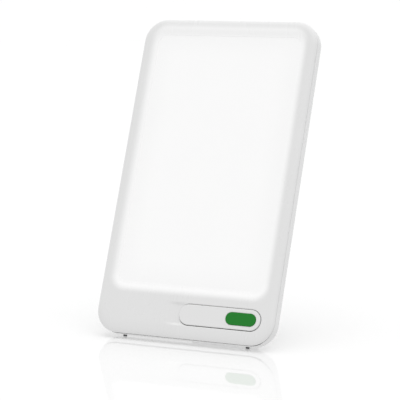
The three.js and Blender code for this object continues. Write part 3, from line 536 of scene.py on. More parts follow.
def slabs(name, boxes):
    """One mesh of separate boxes, each given by two opposite corners."""
    bm = bmesh.new()
    for low, high in boxes:
        low, high = Vector(low), Vector(high)
        made = bmesh.ops.create_cube(bm, size=1)["verts"]
        bmesh.ops.scale(bm, verts=made, vec=high - low)
        bmesh.ops.translate(bm, verts=made, vec=(low + high) / 2)
    return new_solid(name, bm)


def turned(name, profile, places, sides=ROUND_SIDES, turn=None):
    """One mesh of like turned solids: a profile of (radius, height) spun about z at each place."""
    bm = bmesh.new()
    for place in places:
        points = [bm.verts.new((radius, 0, height)) for radius, height in profile]
        edges = [bm.edges.new(pair) for pair in zip(points, points[1:])]
        bmesh.ops.spin(
            bm,
            geom=points + edges,
            cent=(0, 0, 0),
            axis=(0, 0, 1),
            angle=2 * math.pi,
            steps=sides,
            use_merge=True,
        )
        made = [vertex for vertex in bm.verts if not vertex.tag]
        if turn is not None:
            bmesh.ops.rotate(bm, verts=made, cent=(0, 0, 0), matrix=turn)
        bmesh.ops.translate(bm, verts=made, vec=place)
        for vertex in bm.verts:
            vertex.tag = True
    bmesh.ops.remove_doubles(bm, verts=bm.verts, dist=SAME_SPOT)
    bmesh.ops.dissolve_limit(bm, angle_limit=FLAT_ANGLE, verts=bm.verts, edges=bm.edges)
    return new_solid(name, bm)


def rods(name, radius, start, end, places, sides=SMALL_SIDES, turn=None):
    """Plain round bars along z, or along the axis that a turn brings them to."""
    profile = [(0, start), (radius, start), (radius, end), (0, end)]
    return turned(name, profile, places, sides, turn)


def combine(solid, others, operation):
    """Joins, cuts or trims a solid with others, which are used up."""
    for other in others:
        modifier = solid.modifiers.new(other.name, "BOOLEAN")
        modifier.operation = operation
        modifier.solver = "EXACT"
        modifier.object = other
    graph = bpy.context.evaluated_depsgraph_get()
    mesh = bpy.data.meshes.new_from_object(solid.evaluated_get(graph))
    if not mesh.polygons:
        raise RuntimeError(f"{solid.name} was left with no faces")
    solid.modifiers.clear()
    old = solid.data
    solid.data = mesh
    bpy.data.meshes.remove(old)
    for other in others:
        bpy.data.meshes.remove(other.data)
    return solid


def merged_copy(node, name):
    """A copy of a CAD node's mesh with its loose triangles merged into plain faces."""
    bm = bmesh.new()
    bm.from_mesh(frame["nodes"][node].data)
    bmesh.ops.remove_doubles(bm, verts=bm.verts, dist=CAD_SPOT)
    bmesh.ops.dissolve_limit(bm, angle_limit=FLAT_ANGLE, verts=bm.verts, edges=bm.edges)
    return new_solid(name, bm)


def soften_edges(solid, width):
    """Rounds a solid's sharp edges."""
    bm = bmesh.new()
    bm.from_mesh(solid.data)
    shared = [edge for edge in bm.edges if len(edge.link_faces) == 2]
    sharp = [edge for edge in shared if edge.calc_face_angle() > SOFTENED_ANGLE]
    bevel(bm, sharp, width, SMALL_EDGE_STEPS, "EDGES")
    bmesh.ops.recalc_face_normals(bm, faces=bm.faces)
    bm.to_mesh(solid.data)
    bm.free()
    return solid


def finish_piece(solid, place, body, nodes, material):
    """Puts a mesh in its place, with its material, and lets it stand for its CAD nodes."""
    mesh = solid.data
    mesh.transform(place)
    mesh.name = solid.name
    mesh.materials.clear()
    mesh.materials.append(material)
    mesh.shade_smooth()
    mesh.set_sharp_from_angle(angle=SHARP_ANGLE)
    solid.modifiers.new("Weighted Normal", "WEIGHTED_NORMAL").keep_sharp = True
    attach(solid, body)
    if nodes:
        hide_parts(*nodes)


# Materials


def set_inputs(tree, node, inputs):
    """Gives inputs their values. A socket is linked, and a node is linked by its first output."""
    for name, value in inputs.items():
        if isinstance(value, bpy.types.Node):
            value = value.outputs[0]
        if isinstance(value, bpy.types.NodeSocket):
            tree.links.new(value, node.inputs[name])
        else:
            node.inputs[name].default_value = value


def add_node(tree, kind, inputs=None, **settings):
    node = tree.nodes.new(f"ShaderNode{kind}")
    for name, value in settings.items():
        setattr(node, name, value)
    set_inputs(tree, node, inputs or {})
    return node


def object_place(tree):
    return add_node(tree, "TexCoord").outputs["Object"]


def new_material(name, colour, roughness, metallic=0.0):
    """A material, its node tree and its shader, with constants on the shader's own sockets."""
    material = bpy.data.materials.new(name)
    material.use_nodes = True
    tree = material.node_tree
    shader = tree.nodes["Principled BSDF"]
    base = {"Base Color": (*colour, 1), "Roughness": roughness, "Metallic": metallic}
    set_inputs(tree, shader, base)
    return material, tree, shader


def noise(tree, scale, detail, stretch=None):
    """A noise in the object's own coordinates, drawn out along an axis where stretch is given."""
    place = object_place(tree)
    if stretch is not None:
        place = add_node(tree, "Mapping", {"Vector": place, "Scale": stretch})
    return add_node(tree, "TexNoise", {"Vector": place, "Scale": scale, "Detail": detail})


def map_range(tree, source, start, end, low, high, **settings):
    """Values of a source from start to end, mapped to values from low to high."""
    inputs = {"Value": source, "From Min": start, "From Max": end, "To Min": low, "To Max": high}
    return add_node(tree, "MapRange", inputs, **settings)


def vary_roughness(tree, shader, source, low, high):
    ranged = map_range(tree, source, NOISE_LOW, NOISE_HIGH, low, high)
    set_inputs(tree, shader, {"Roughness": ranged})


def vary_colour(tree, shader, colour, source, share):
    """Lets the colour drift by a share round its own value."""
    ramp = add_node(tree, "ValToRGB", {"Fac": source})
    stops = ((NOISE_LOW, 1 - share), (NOISE_HIGH, 1 + share))
    for element, (position, factor) in zip(ramp.color_ramp.elements, stops):
        element.position = position
        element.color = (*[min(part * factor, 1) for part in colour], 1)
    set_inputs(tree, shader, {"Base Color": ramp})


def add_bump(tree, shader, source, distance, strength):
    inputs = {"Height": source, "Distance": distance, "Strength": strength}
    set_inputs(tree, shader, {"Normal": add_node(tree, "Bump", inputs)})


def moulded_plastic(name, colour, roughness, grain=0.0, gloss=0.5):
    """Moulded plastic: a faint flow in its gloss, and a slight waviness or a given grain."""
    material, tree, shader = new_material(name, colour, roughness)
    vary_colour(tree, shader, colour, noise(tree, scale=14, detail=3), share=0.006)
    flow = noise(tree, scale=60, detail=4, stretch=(1, 0.6, 0.3))
    vary_roughness(tree, shader, flow, low=roughness * 0.92, high=roughness * 1.1)
    if grain:
        fine = noise(tree, scale=2600, detail=3)
        add_bump(tree, shader, fine, distance=grain, strength=0.35)
    else:
        wave = noise(tree, scale=45, detail=1)
        add_bump(tree, shader, wave, distance=0.00004, strength=0.25)
    set_inputs(tree, shader, {"IOR": ACRYLIC_IOR, "Specular IOR Level": gloss})
    return material


def add_lamp_or_painted_glow(material, outline, reach, near, far):
    """Light given off by a piece of the panel, from near an outline to far outside it: the
    diffuser's own light, and on the frame a painted glow that stands in for light falling on its
    bevel.
    """
    tree = material.node_tree
    seen = (FACE @ Matrix.Translation(outline.centre)).inverted()
    inputs = {"Rotation": seen.to_euler(), "Location": seen.translation}
    place = add_node(tree, "Mapping", {"Vector": object_place(tree), **inputs})
    across = (outline.right - outline.left) / 2 - outline.radius
    straight = (across, outline.top - outline.middle - outline.radius, 1)
    zero = (0, 0, 0)
    for operation, other in (("ABSOLUTE", zero), ("SUBTRACT", straight), ("MAXIMUM", zero)):
        place = add_node(tree, "VectorMath", {0: place, 1: other}, operation=operation)
    distance = add_node(tree, "VectorMath", {0: place}, operation="LENGTH").outputs["Value"]
    ends = (outline.radius, outline.radius + reach, near, far)
    glow = map_range(tree, distance, *ends, interpolation_type="SMOOTHSTEP")
    shader = tree.nodes["Principled BSDF"]
    set_inputs(tree, shader, {"Emission Color": WHITE, "Emission Strength": glow})


def opal_sheet(name, colours, outline):
    """Opal acrylic that glows evenly and a little less along its edge."""
    material, tree, shader = new_material(name, colours.opal, roughness=0.4)
    vary_colour(tree, shader, colours.opal, noise(tree, scale=25, detail=3), share=0.004)
    reach = (outline.right - outline.left) * FADE_SHARE
    add_lamp_or_painted_glow(material, outline.grown(-reach), reach, colours.glow, colours.rim_glow)
    haze = noise(tree, scale=1800, detail=2)
    add_bump(tree, shader, haze, distance=0.00003, strength=0.2)
    return material


def plated_metal(name, colour, roughness, stretch):
    """Plated or rolled metal, with fine lines along the way it was made."""
    material, tree, shader = new_material(name, colour, roughness, metallic=1.0)
    vary_colour(tree, shader, colour, noise(tree, scale=300, detail=3), share=0.05)
    lines = noise(tree, scale=900, detail=3, stretch=stretch)
    vary_roughness(tree, shader, lines, low=roughness * 0.8, high=roughness * 1.25)
    add_bump(tree, shader, lines, distance=0.00002, strength=0.3)
    return material


def soft_rubber(name, colour):
    """Moulded rubber with a fine grain and a bloom."""
    material, tree, shader = new_material(name, colour, roughness=0.75)
    vary_colour(tree, shader, colour, noise(tree, scale=180, detail=4), share=0.2)
    grain = noise(tree, scale=3200, detail=3)
    vary_roughness(tree, shader, grain, low=0.68, high=0.86)
    add_bump(tree, shader, grain, distance=0.00005, strength=0.4)
    return material


def painted_board(name, colour):
    """Solder mask over copper tracks."""
    material, tree, shader = new_material(name, colour, roughness=0.35)
    tracks = noise(tree, scale=420, detail=5, stretch=(1, 0.2, 1))
    vary_colour(tree, shader, colour, tracks, share=0.25)
    relief = noise(tree, scale=700, detail=2, stretch=(1, 0.2, 1))
    add_bump(tree, shader, relief, distance=0.00003, strength=0.5)
    return material


def clear_sheet(name):
    """Polished clear acrylic with a faint dot print."""
    material, tree, shader = new_material(name, ACRYLIC, roughness=0.06)
    vary_colour(tree, shader, ACRYLIC, noise(tree, scale=900, detail=1), share=0.02)
    set_inputs(tree, shader, {"Transmission Weight": 0.9, "IOR": ACRYLIC_IOR})
    return material


# What several operators share


def key_outline(sizes):
    trim = sizes.trim
    return stadium(KEY_LOW + Vector((0, trim, 0)), KEY_HIGH - Vector((trim, 0, 0)))


def key_opening(sizes):
    """The outline of the key's opening, wider below and at the right than above and at the left."""
    plate = key_outline(sizes)
    low = Vector((plate.left - sizes.gap_upper, plate.bottom - sizes.gap_lower))
    return stadium(low, Vector((plate.right + sizes.gap_lower, plate.top + sizes.gap_upper)))


def pin_bore(name):
    """A cutter for the bore of the key's pin."""
    radius = (PIN_HIGH.x - PIN_LOW.x) / 2 + CLEARANCE
    places = [(PIN_ACROSS, 0, PIN_LEVEL)]
    return rods(name, radius, PIN_LOW.y, PIN_HIGH.y, places, turn=ALONG_Y)


def window_outline(sizes, lower=0.0, upper=0.0):
    """The window's outline, which may be taller below and above."""
    bottom, top = sizes.window_lower - lower, sizes.window_upper - upper
    return panel_outline(sizes.window_side, bottom, top, sizes.window_corner)


def foot_outline(context, node):
    """A foot's outline on the floor, and the levels of its ends."""
    low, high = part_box(node)
    sizes = context.scene.lamp_stand
    right, front = high.x - sizes.foot_trim_side, low.y + sizes.foot_trim_front
    return Outline(low.x, right, front, high.y, sizes.foot_corner), low.z, high.z


def smooth_step(value):
    value = min(max(value, 0), 1)
    return value * value * (3 - 2 * value)


def sink_scoop(solid, sizes, opening):
    """Presses the thumb scoop into the face: a fine patch is cut and moved down in a trough."""
    bm = bmesh.new()
    bm.from_mesh(solid.data)
    margin, half = sizes.scoop_wall, sizes.scoop_height / 2
    start = opening.left - sizes.scoop_length
    left, right = start - margin, opening.left + opening.radius + margin
    bottom, top = opening.middle - half - margin, opening.middle + half + margin

    spans = [(-math.inf, math.inf), (-math.inf, sizes.bevel_lower)]

    def front_faces():
        """The faces of the front whose middles lie within both spans."""
        faces = []
        for face in bm.faces:
            middle = face.calc_center_median()
            inside = all(low < at < high for at, (low, high) in zip(middle, spans))
            if inside and middle.z > CREST - sizes.side and face.normal.z > LEAST_FACING:
                faces.append(face)
        return faces

    def cut(axis, at):
        """Cuts those faces straight across an axis."""
        geom = {part for face in front_faces() for part in (face, *face.edges, *face.verts)}
        across = Matrix.Identity(3)[axis].copy()
        bmesh.ops.bisect_plane(
            bm, geom=list(geom), dist=SAME_SPOT, plane_co=across * at, plane_no=across
        )

    reach = ((left, right), (bottom, top))
    for axis, span in enumerate(reach):
        for border in span:
            cut(axis, border)
        spans[axis] = span
    for axis, (low, high) in enumerate(reach):
        count = round((high - low) / sizes.scoop_cell)
        for step in range(1, count):
            cut(axis, low + (high - low) * step / count)
    for vertex in {vertex for face in front_faces() for vertex in face.verts}:
        x, y = vertex.co.xy
        run_in = smooth_step((x - start) / sizes.scoop_length)
        run_out = 1 - smooth_step((x - opening.left) / (opening.radius + margin))
        past_wall = (abs(y - opening.middle) - half) / sizes.scoop_wall
        wall = 1 - smooth_step(past_wall + 0.5)
        vertex.co.z -= sizes.scoop_depth * run_in * run_out * wall
    bm.to_mesh(solid.data)
    bm.free()


# Operators, one for each piece or group of like pieces


class LAMP_OT_front_frame(bpy.types.Operator):
    """Moulds the front frame with its roll, bevel, key opening and thumb scoop"""

    bl_idname = "lamp.front_frame"
    bl_label = "Front Frame"

    def execute(self, context):
        sizes, key = context.scene.lamp_frame, context.scene.lamp_key
        colours, opening = context.scene.lamp_colours, key_opening(key)
        ceiling, seat = CREST - sizes.wall, CREST - sizes.bevel_depth - sizes.lip
        shell = loft_solid("front_frame_shell", self.rings(sizes, ceiling, seat), closed=True)
        sink_scoop(shell, sizes, opening)
        combine(shell, self.carriers(sizes, key, opening, ceiling), "UNION")
        hole = mouth(opening, CREST, key.flare, -1) + [(opening, seat - OVERRUN)]
        pilot = SCREW_SHANK + CLEARANCE
        pilots = rods("pilot_holes", pilot, -PILOT_DEPTH, CLEARANCE, SCREW_PLACES)
        cutters = [loft_solid("key_opening", hole), pin_bore("pin_bore"), pilots]
        combine(shell, cutters, "DIFFERENCE")
        white = moulded_plastic("Frame white", colours.frame_white, roughness=0.28)
        # Painted glow: the frame gives off light round the window, strongest at the window's edge
        # and gone where the bevel starts, standing in for light falling on the bevel.
        lit = window_outline(sizes, sizes.painted_glow_lower, sizes.painted_glow_upper)
        add_lamp_or_painted_glow(white, lit, sizes.window_side - sizes.bevel_side, colours.painted_glow, 0)
        finish_piece(shell, FACE, "housing", ["front_frame"], white)
        return {"FINISHED"}

    def rings(self, sizes, ceiling, seat):
        """Rings from the crest down the outer roll, round inside to the lip and up the bevel."""
        corner, gap, window = sizes.corner, sizes.joint_gap / 2, window_outline(sizes)
        rings = []
        for sine, cosine in quarter_turn(ROLL_STEPS):
            runs = (sizes.roll, sizes.lower_roll, sizes.upper_roll)
            side, lower, upper = (run * (1 - sine) for run in runs)
            level = sizes.side + (CREST - sizes.side) * cosine
            rings.append((panel_outline(side, lower, upper, corner - side), level))
        shoulder, below = sizes.wall + sizes.shoulder, sizes.lower_roll * SHOULDER_SHARE
        rings += [
            (even_outline(0, corner), gap + sizes.joint_break),
            (even_outline(sizes.joint_break, corner), gap),
            (even_outline(sizes.wall, corner), gap),
            (even_outline(sizes.wall, corner), ceiling - sizes.side),
            (panel_outline(shoulder, below, shoulder, corner - shoulder), ceiling),
            (window.grown(sizes.seat + sizes.seat_step), ceiling),
            (window.grown(sizes.seat), seat),
            (window, seat),
        ]
        rings += reversed(quarter(window, CREST - sizes.bevel_depth, sizes.lip_edge, 1, -1))
        bevel_starts = (sizes.bevel_side, sizes.bevel_lower, sizes.bevel_upper, sizes.bevel_corner)
        ends = (sizes.window_side, sizes.window_lower, sizes.window_upper, sizes.window_corner)
        for step in range(BEVEL_STEPS - 1, -1, -1):
            share = step / BEVEL_STEPS
            borders = [start + (end - start) * share for start, end in zip(bevel_starts, ends)]
            level = CREST - sizes.bevel_depth * smooth_step(share)
            rings.append((panel_outline(*borders), level))
        return rings

    def carriers(self, sizes, key, opening, ceiling):
        """Bosses for the cover's screws and ears for the key's pin."""
        top, gap = ceiling + BURY, sizes.joint_gap
        ears = []
        for start in (opening.bottom - gap - key.ear, opening.top + gap):
            low = (PIN_ACROSS - key.lug, start, PIN_LEVEL - key.lug)
            ears.append((low, (PIN_ACROSS + key.lug, start + key.ear, top)))
        bosses = rods("frame_bosses", sizes.boss, -sizes.boss_meet, top, SCREW_PLACES)
        return [bosses, slabs("key_ears", ears)]


class LAMP_OT_rear_cover(bpy.types.Operator):
    """Moulds the rear cover with the leg's recess, the vents and the seats of what it holds"""

    bl_idname = "lamp.rear_cover"
    bl_label = "Rear Cover"

    def execute(self, context):
        sizes, joint = context.scene.lamp_cover, context.scene.lamp_frame
        corner, gap, side = joint.corner, joint.joint_gap / 2, sizes.side
        wall, lip = even_outline(sizes.wall, corner), even_outline(sizes.lip_inset, corner)
        inner = even_outline(sizes.lip_inset + sizes.lip_width, corner)
        rings = self.side_rings(sizes, corner, 0)[::-1]
        rings += [
            (even_outline(0, corner), -gap - joint.joint_break),
            (even_outline(joint.joint_break, corner), -gap),
            (wall, -gap),
            (wall, -LIP_HEIGHT),
            (lip, -LIP_HEIGHT),
            (lip, LIP_HEIGHT),
            (inner, LIP_HEIGHT),
            (inner, -side / 2),
            (wall, -side / 2),
        ]
        shell = loft_solid("rear_cover_shell", rings + self.side_rings(sizes, corner, sizes.wall))
        half = LEG_HIGH.x + sizes.recess_gap
        bottom, top = PANEL_LOW.y + sizes.recess_lower, HINGE_UP + sizes.recess_upper
        recess = Outline(-half, half, bottom, top, sizes.recess_corner, sizes.recess_edge)
        floor, inside = HINGE_LEVEL + LEG_BARREL + CLEARANCE, PANEL_LOW.z + sizes.wall
        fittings = self.fittings(context, sizes, recess, floor, inside)
        core = [(even_outline(BURY, corner), 0)] + self.side_rings(sizes, corner, BURY)
        fitted = combine(fittings[0], fittings[1:], "UNION")
        combine(fitted, [loft_solid("cover_core", core)], "INTERSECT")
        combine(shell, [fitted], "UNION")
        cuts = self.holes(context, sizes, recess, floor, inside)
        combine(shell, cuts + [self.groove(sizes, corner, gap)], "DIFFERENCE")
        colour = context.scene.lamp_colours.cover_white
        white = moulded_plastic("Cover white", colour, roughness=0.34)
        finish_piece(shell, FACE, "housing", ["rear_cover"], white)
        return {"FINISHED"}

    def side_rings(self, sizes, corner, inset):
        """Rings from the end of the straight side round the roll to the back."""
        roll = -PANEL_LOW.z - sizes.side - inset
        return [
            (even_outline(inset + roll * (1 - cosine), corner), -sizes.side - roll * sine)
            for sine, cosine in quarter_turn(ROLL_STEPS)
        ]

    def fittings(self, context, sizes, recess, floor, inside):
        """What stands inside the cover, as separate closed solids."""
        root, ceiling = inside - BURY, floor + sizes.recess_wall
        walls = [(recess.grown(sizes.recess_wall), level) for level in (root, ceiling)]
        ear = recess.right + sizes.ear_wall
        low = (-ear, HINGE_UP - sizes.ear_half, root)
        ears = [(low, (ear, HINGE_UP + sizes.ear_half, floor))]
        reach = sizes.notch_half + sizes.wall
        low = (-reach, PANEL_LOW.y + sizes.wall / 2, root)
        backing = [(low, (reach, recess.bottom + sizes.wall, ceiling))]
        boss, meet = context.scene.lamp_frame.boss, context.scene.lamp_frame.boss_meet
        boss_foot = PANEL_LOW.z + sizes.screw_seat + sizes.wall
        board = box_in(FACE, "control_board")[0].z
        tray, guide = box_in(FACE, "light_tray"), box_in(FACE, "light_guide_plate")
        rib, half = tray[0].z - CLEARANCE, sizes.rib / 2
        across, upright = [], []
        for share in CROSS_RIB_SHARES:
            y = PANEL_LOW.y + share * (PANEL_HIGH.y - PANEL_LOW.y)
            across.append(((guide[0].x, y - half, root), (guide[1].x, y + half, rib)))
        for side in (-1, 1):
            x = side * (PANEL_HIGH.x - UPRIGHT_RIB_INSET)
            high = (x + half, guide[1].y, rib - UPRIGHT_RIB_STEP)
            upright.append(((x - half, tray[0].y, root), high))
        return [
            loft_solid("recess_walls", walls),
            slabs("hinge_ears", ears),
            slabs("notch_backing", backing),
            rods("boss_feet", sizes.boss_foot, root, boss_foot, SCREW_PLACES),
            rods("cover_bosses", boss, root, -meet - CLEARANCE, SCREW_PLACES),
            rods("board_posts", sizes.post, root, board - CLEARANCE, BOARD_PLACES),
            self.foot_blocks(context, "foot_pads", sizes.foot_pad, 0),
            slabs("cross_ribs", across),
            slabs("upright_ribs", upright),
        ]

    def foot_blocks(self, context, name, growth, depth):
        """Both feet, grown sideways and upwards and lowered at their lower ends."""
        bm = bmesh.new()
        for node in FEET:
            outline, low, high = foot_outline(context, node)
            outline = outline.grown(growth)
            rings = [(outline, low - depth), (outline, high + growth)]
            add_loft(bm, rings, steps=SMALL_CORNER_STEPS)
        blocks = new_solid(name, bm)
        blocks.data.transform(FACE.inverted())
        return blocks

    def holes(self, context, sizes, recess, floor, inside):
        """The cover's recess, notch, slots and holes, with softened mouths."""
        back, soft, small = PANEL_LOW.z, sizes.recess_edge, sizes.small_edge
        bed = quarter(recess, floor, soft, -1, -1)[::-1]
        vents = bmesh.new()
        half, top = sizes.vent_width / 2, PANEL_HIGH.y - sizes.vent_upper
        for index in range(sizes.vent_count):
            x = (index - (sizes.vent_count - 1) / 2) * sizes.vent_pitch
            slot = Outline(x - half, x + half, top - sizes.vent_length, top, half - SAME_SPOT)
            rings = mouth(slot, back, small, 1, SMALL_EDGE_STEPS) + [(slot, inside + OVERRUN)]
            add_loft(vents, rings, steps=SMALL_CORNER_STEPS)
        board = box_in(FACE, "control_board")[0].z
        ear = recess.right + sizes.ear_wall + OVERRUN
        pin = context.scene.lamp_stand.pin + CLEARANCE
        hinge, jack = [(0, HINGE_UP, HINGE_LEVEL)], [middle_of(JACK_LOW, JACK_HIGH)]
        head, barrel = SCREW_HEAD + CLEARANCE, JACK_BARREL + CLEARANCE
        shank, pilot = SCREW_SHANK + CLEARANCE, BOARD_SHANK + CLEARANCE
        return [
            loft_solid("leg_recess", mouth(recess, back, soft, 1) + bed),
            self.notch(sizes, recess, back),
            new_solid("vents", vents),
            self.sunk("screw_seats", head, small, back + sizes.screw_seat, SCREW_PLACES),
            rods("screw_holes", shank, back, 0, SCREW_PLACES),
            rods("board_pilots", pilot, inside, board, BOARD_PLACES),
            self.sunk("inlet_hole", barrel, small, inside + OVERRUN, jack),
            rods("hinge_bore", pin, -ear, ear, hinge, turn=ALONG_X),
            self.foot_blocks(context, "foot_sockets", CLEARANCE, OVERRUN),
        ]

    def notch(self, sizes, recess, back):
        """The finger notch that the leg is pulled out by."""
        bm = bmesh.new()
        rows = ROUND_SIDES // 2
        ball = bmesh.ops.create_uvsphere(bm, u_segments=ROUND_SIDES, v_segments=rows, radius=1)
        reach = (sizes.notch_half, sizes.notch_rise, sizes.notch_depth)
        bmesh.ops.scale(bm, verts=ball["verts"], vec=reach)
        bmesh.ops.translate(bm, verts=ball["verts"], vec=(0, recess.bottom, back))
        return new_solid("finger_notch", bm)

    def sunk(self, name, radius, edge, floor, places):
        """Round holes from the back in to a floor, with rounded mouths."""
        back = PANEL_LOW.z
        profile = [(0, back - OVERRUN), (radius + edge, back - OVERRUN)]
        profile += turned_quarter(radius, back, edge, 1, 1)
        return turned(name, profile + [(radius, floor), (0, floor)], places)

    def groove(self, sizes, corner, gap):
        """The groove that shows the joint's dark band of painted shade, which narrows to nothing
        round the lower corners.
        """
        depth = sizes.groove_depth
        taper = -depth * GROOVE_TAPER
        beyond = even_outline(-depth * GROOVE_REACH, corner)
        back, front = -gap - sizes.groove, -gap + OVERRUN
        rings = [
            (panel_outline(taper, depth, taper, corner), back),
            (beyond, back),
            (beyond, front),
            (panel_outline(-CLEARANCE, depth, -CLEARANCE, corner), front),
        ]
        return loft_solid("joint_groove", rings, closed=True)


class LAMP_OT_diffuser(bpy.types.Operator):
    """Forms the opal diffuser: a flange behind the frame's lip and a raised face in the window"""

    bl_idname = "lamp.diffuser"
    bl_label = "Diffuser"

    def execute(self, context):
        sizes = context.scene.lamp_frame
        window = window_outline(sizes)
        face = window.grown(-sizes.lip_gap)
        flange = window.grown(GLASS_HIGH.x - window.right)
        seat = CREST - sizes.bevel_depth - sizes.lip - CLEARANCE
        rings = [(flange, GLASS_LOW.z), (flange, seat), (face, seat)]
        rings += round_top(face, GLASS_HIGH.z, sizes.lip_edge)
        sheet = loft_solid("opal_diffuser_sheet", rings)
        material = opal_sheet("Opal sheet", context.scene.lamp_colours, face)
        finish_piece(sheet, FACE, "housing", ["diffuser_panel"], material)
        return {"FINISHED"}


class LAMP_OT_power_key(bpy.types.Operator):
    """Moulds the power key with its inlay, ribs, lugs and pusher"""

    bl_idname = "lamp.power_key"
    bl_label = "Power Key"

    def execute(self, context):
        sizes, colours = context.scene.lamp_key, context.scene.lamp_colours
        plate, lens = key_outline(sizes), stadium(LENS_LOW, LENS_HIGH).grown(-sizes.inlay_trim)
        under, sunk = CREST - sizes.thickness, CREST - sizes.inlay_sink
        key = loft_solid("power_key_cap", [(plate, under), *round_top(plate, CREST, sizes.edge)])
        combine(key, self.fittings(context, sizes, plate, under), "UNION")
        pocket = lens.grown(sizes.inlay_gap)
        rings = mouth(pocket, CREST, sizes.inlay_flare, -1, SMALL_EDGE_STEPS) + [(pocket, sunk)]
        combine(key, [loft_solid("inlay_pocket", rings), pin_bore("key_bore")], "DIFFERENCE")
        white = moulded_plastic("Key white", colours.key_white, roughness=0.3)
        finish_piece(key, FACE, "key", ["power_key"], white)
        rings = [(lens, sunk + INLAY_BED), *round_top(lens, LENS_HIGH.z, sizes.inlay_edge)]
        green = moulded_plastic("Inlay green", colours.green, roughness=0.3, gloss=0.25)
        inlay = loft_solid("key_inlay", rings)
        finish_piece(inlay, FACE, "key", ["key_lens"], green)
        return {"FINISHED"}

    def fittings(self, context, sizes, plate, under):
        """Ribs, pivot lugs and the pusher under the key's plate."""
        half, top = context.scene.lamp_cover.rib / 2, under + BURY
        ribs, lugs, barrels = [], [], []
        for side in (-1, 1):
            y = plate.middle + side * sizes.rib_offset
            low = (PIN_ACROSS, y - half, under - sizes.rib_height)
            ribs.append((low, (plate.right - sizes.rib_inset, y + half, top)))
        for start in (plate.bottom + sizes.lug_inset, plate.top - sizes.lug_inset - sizes.ear):
            end, pivot = start + sizes.ear, [(PIN_ACROSS, 0, PIN_LEVEL)]
            low = (PIN_ACROSS - sizes.lug, start, PIN_LEVEL)
            lugs.append((low, (PIN_ACROSS + sizes.lug, end, top)))
            barrels.append(rods("key_barrel", sizes.lug, start, end, pivot, turn=ALONG_Y))
        tip, places = PLUNGER_HIGH.z + CLEARANCE, [middle_of(PLUNGER_LOW, PLUNGER_HIGH)]
        pusher = rods("key_pusher", sizes.pusher, tip, top, places)
        return [slabs("key_ribs", ribs), slabs("key_lugs", lugs), *barrels, pusher]


class LAMP_OT_feet(bpy.types.Operator):
    """Moulds the two rubber feet under the front, and a dark rubber band of painted shade in the
    joint above them
    """

    bl_idname = "lamp.feet"
    bl_label = "Feet"

    def execute(self, context):
        rubber = soft_rubber("Foot rubber", context.scene.lamp_colours.rubber)
        soft = context.scene.lamp_stand.soft_edge
        for node in FEET:
            outline, low, high = foot_outline(context, node)
            rings = quarter(outline, low, soft, -1, 1) + round_top(outline, high, soft)
            foot = loft_solid(f"rubber_{node}", rings, steps=SMALL_CORNER_STEPS)
            finish_piece(foot, UPRIGHT, "housing", [node], rubber)
        # Painted shade: dark rubber put in the joint's groove where the joint below only lies in
        # shade.
        finish_piece(self.painted_shade_band(context), FACE, "housing", [], rubber)
        return {"FINISHED"}

    def painted_shade_band(self, context):
        """A dark band of painted shade in the middle third of the cover's wall that comes out in
        the groove below, where the lower joint only lies in shade.
        """
        cover, joint = context.scene.lamp_cover, context.scene.lamp_frame
        corner, third, gap = joint.corner, cover.wall / 3, joint.joint_gap / 2
        outer = panel_outline(third, cover.shade_band_sink, third, corner - third)
        inner = panel_outline(third * 2, cover.groove_depth, third * 2, corner - third * 2)
        low, high = -gap - cover.groove, gap
        rings = [(inner, low), (outer, low), (outer, high), (inner, high)]
        return loft_solid("joint_painted_shade_band", rings, closed=True)


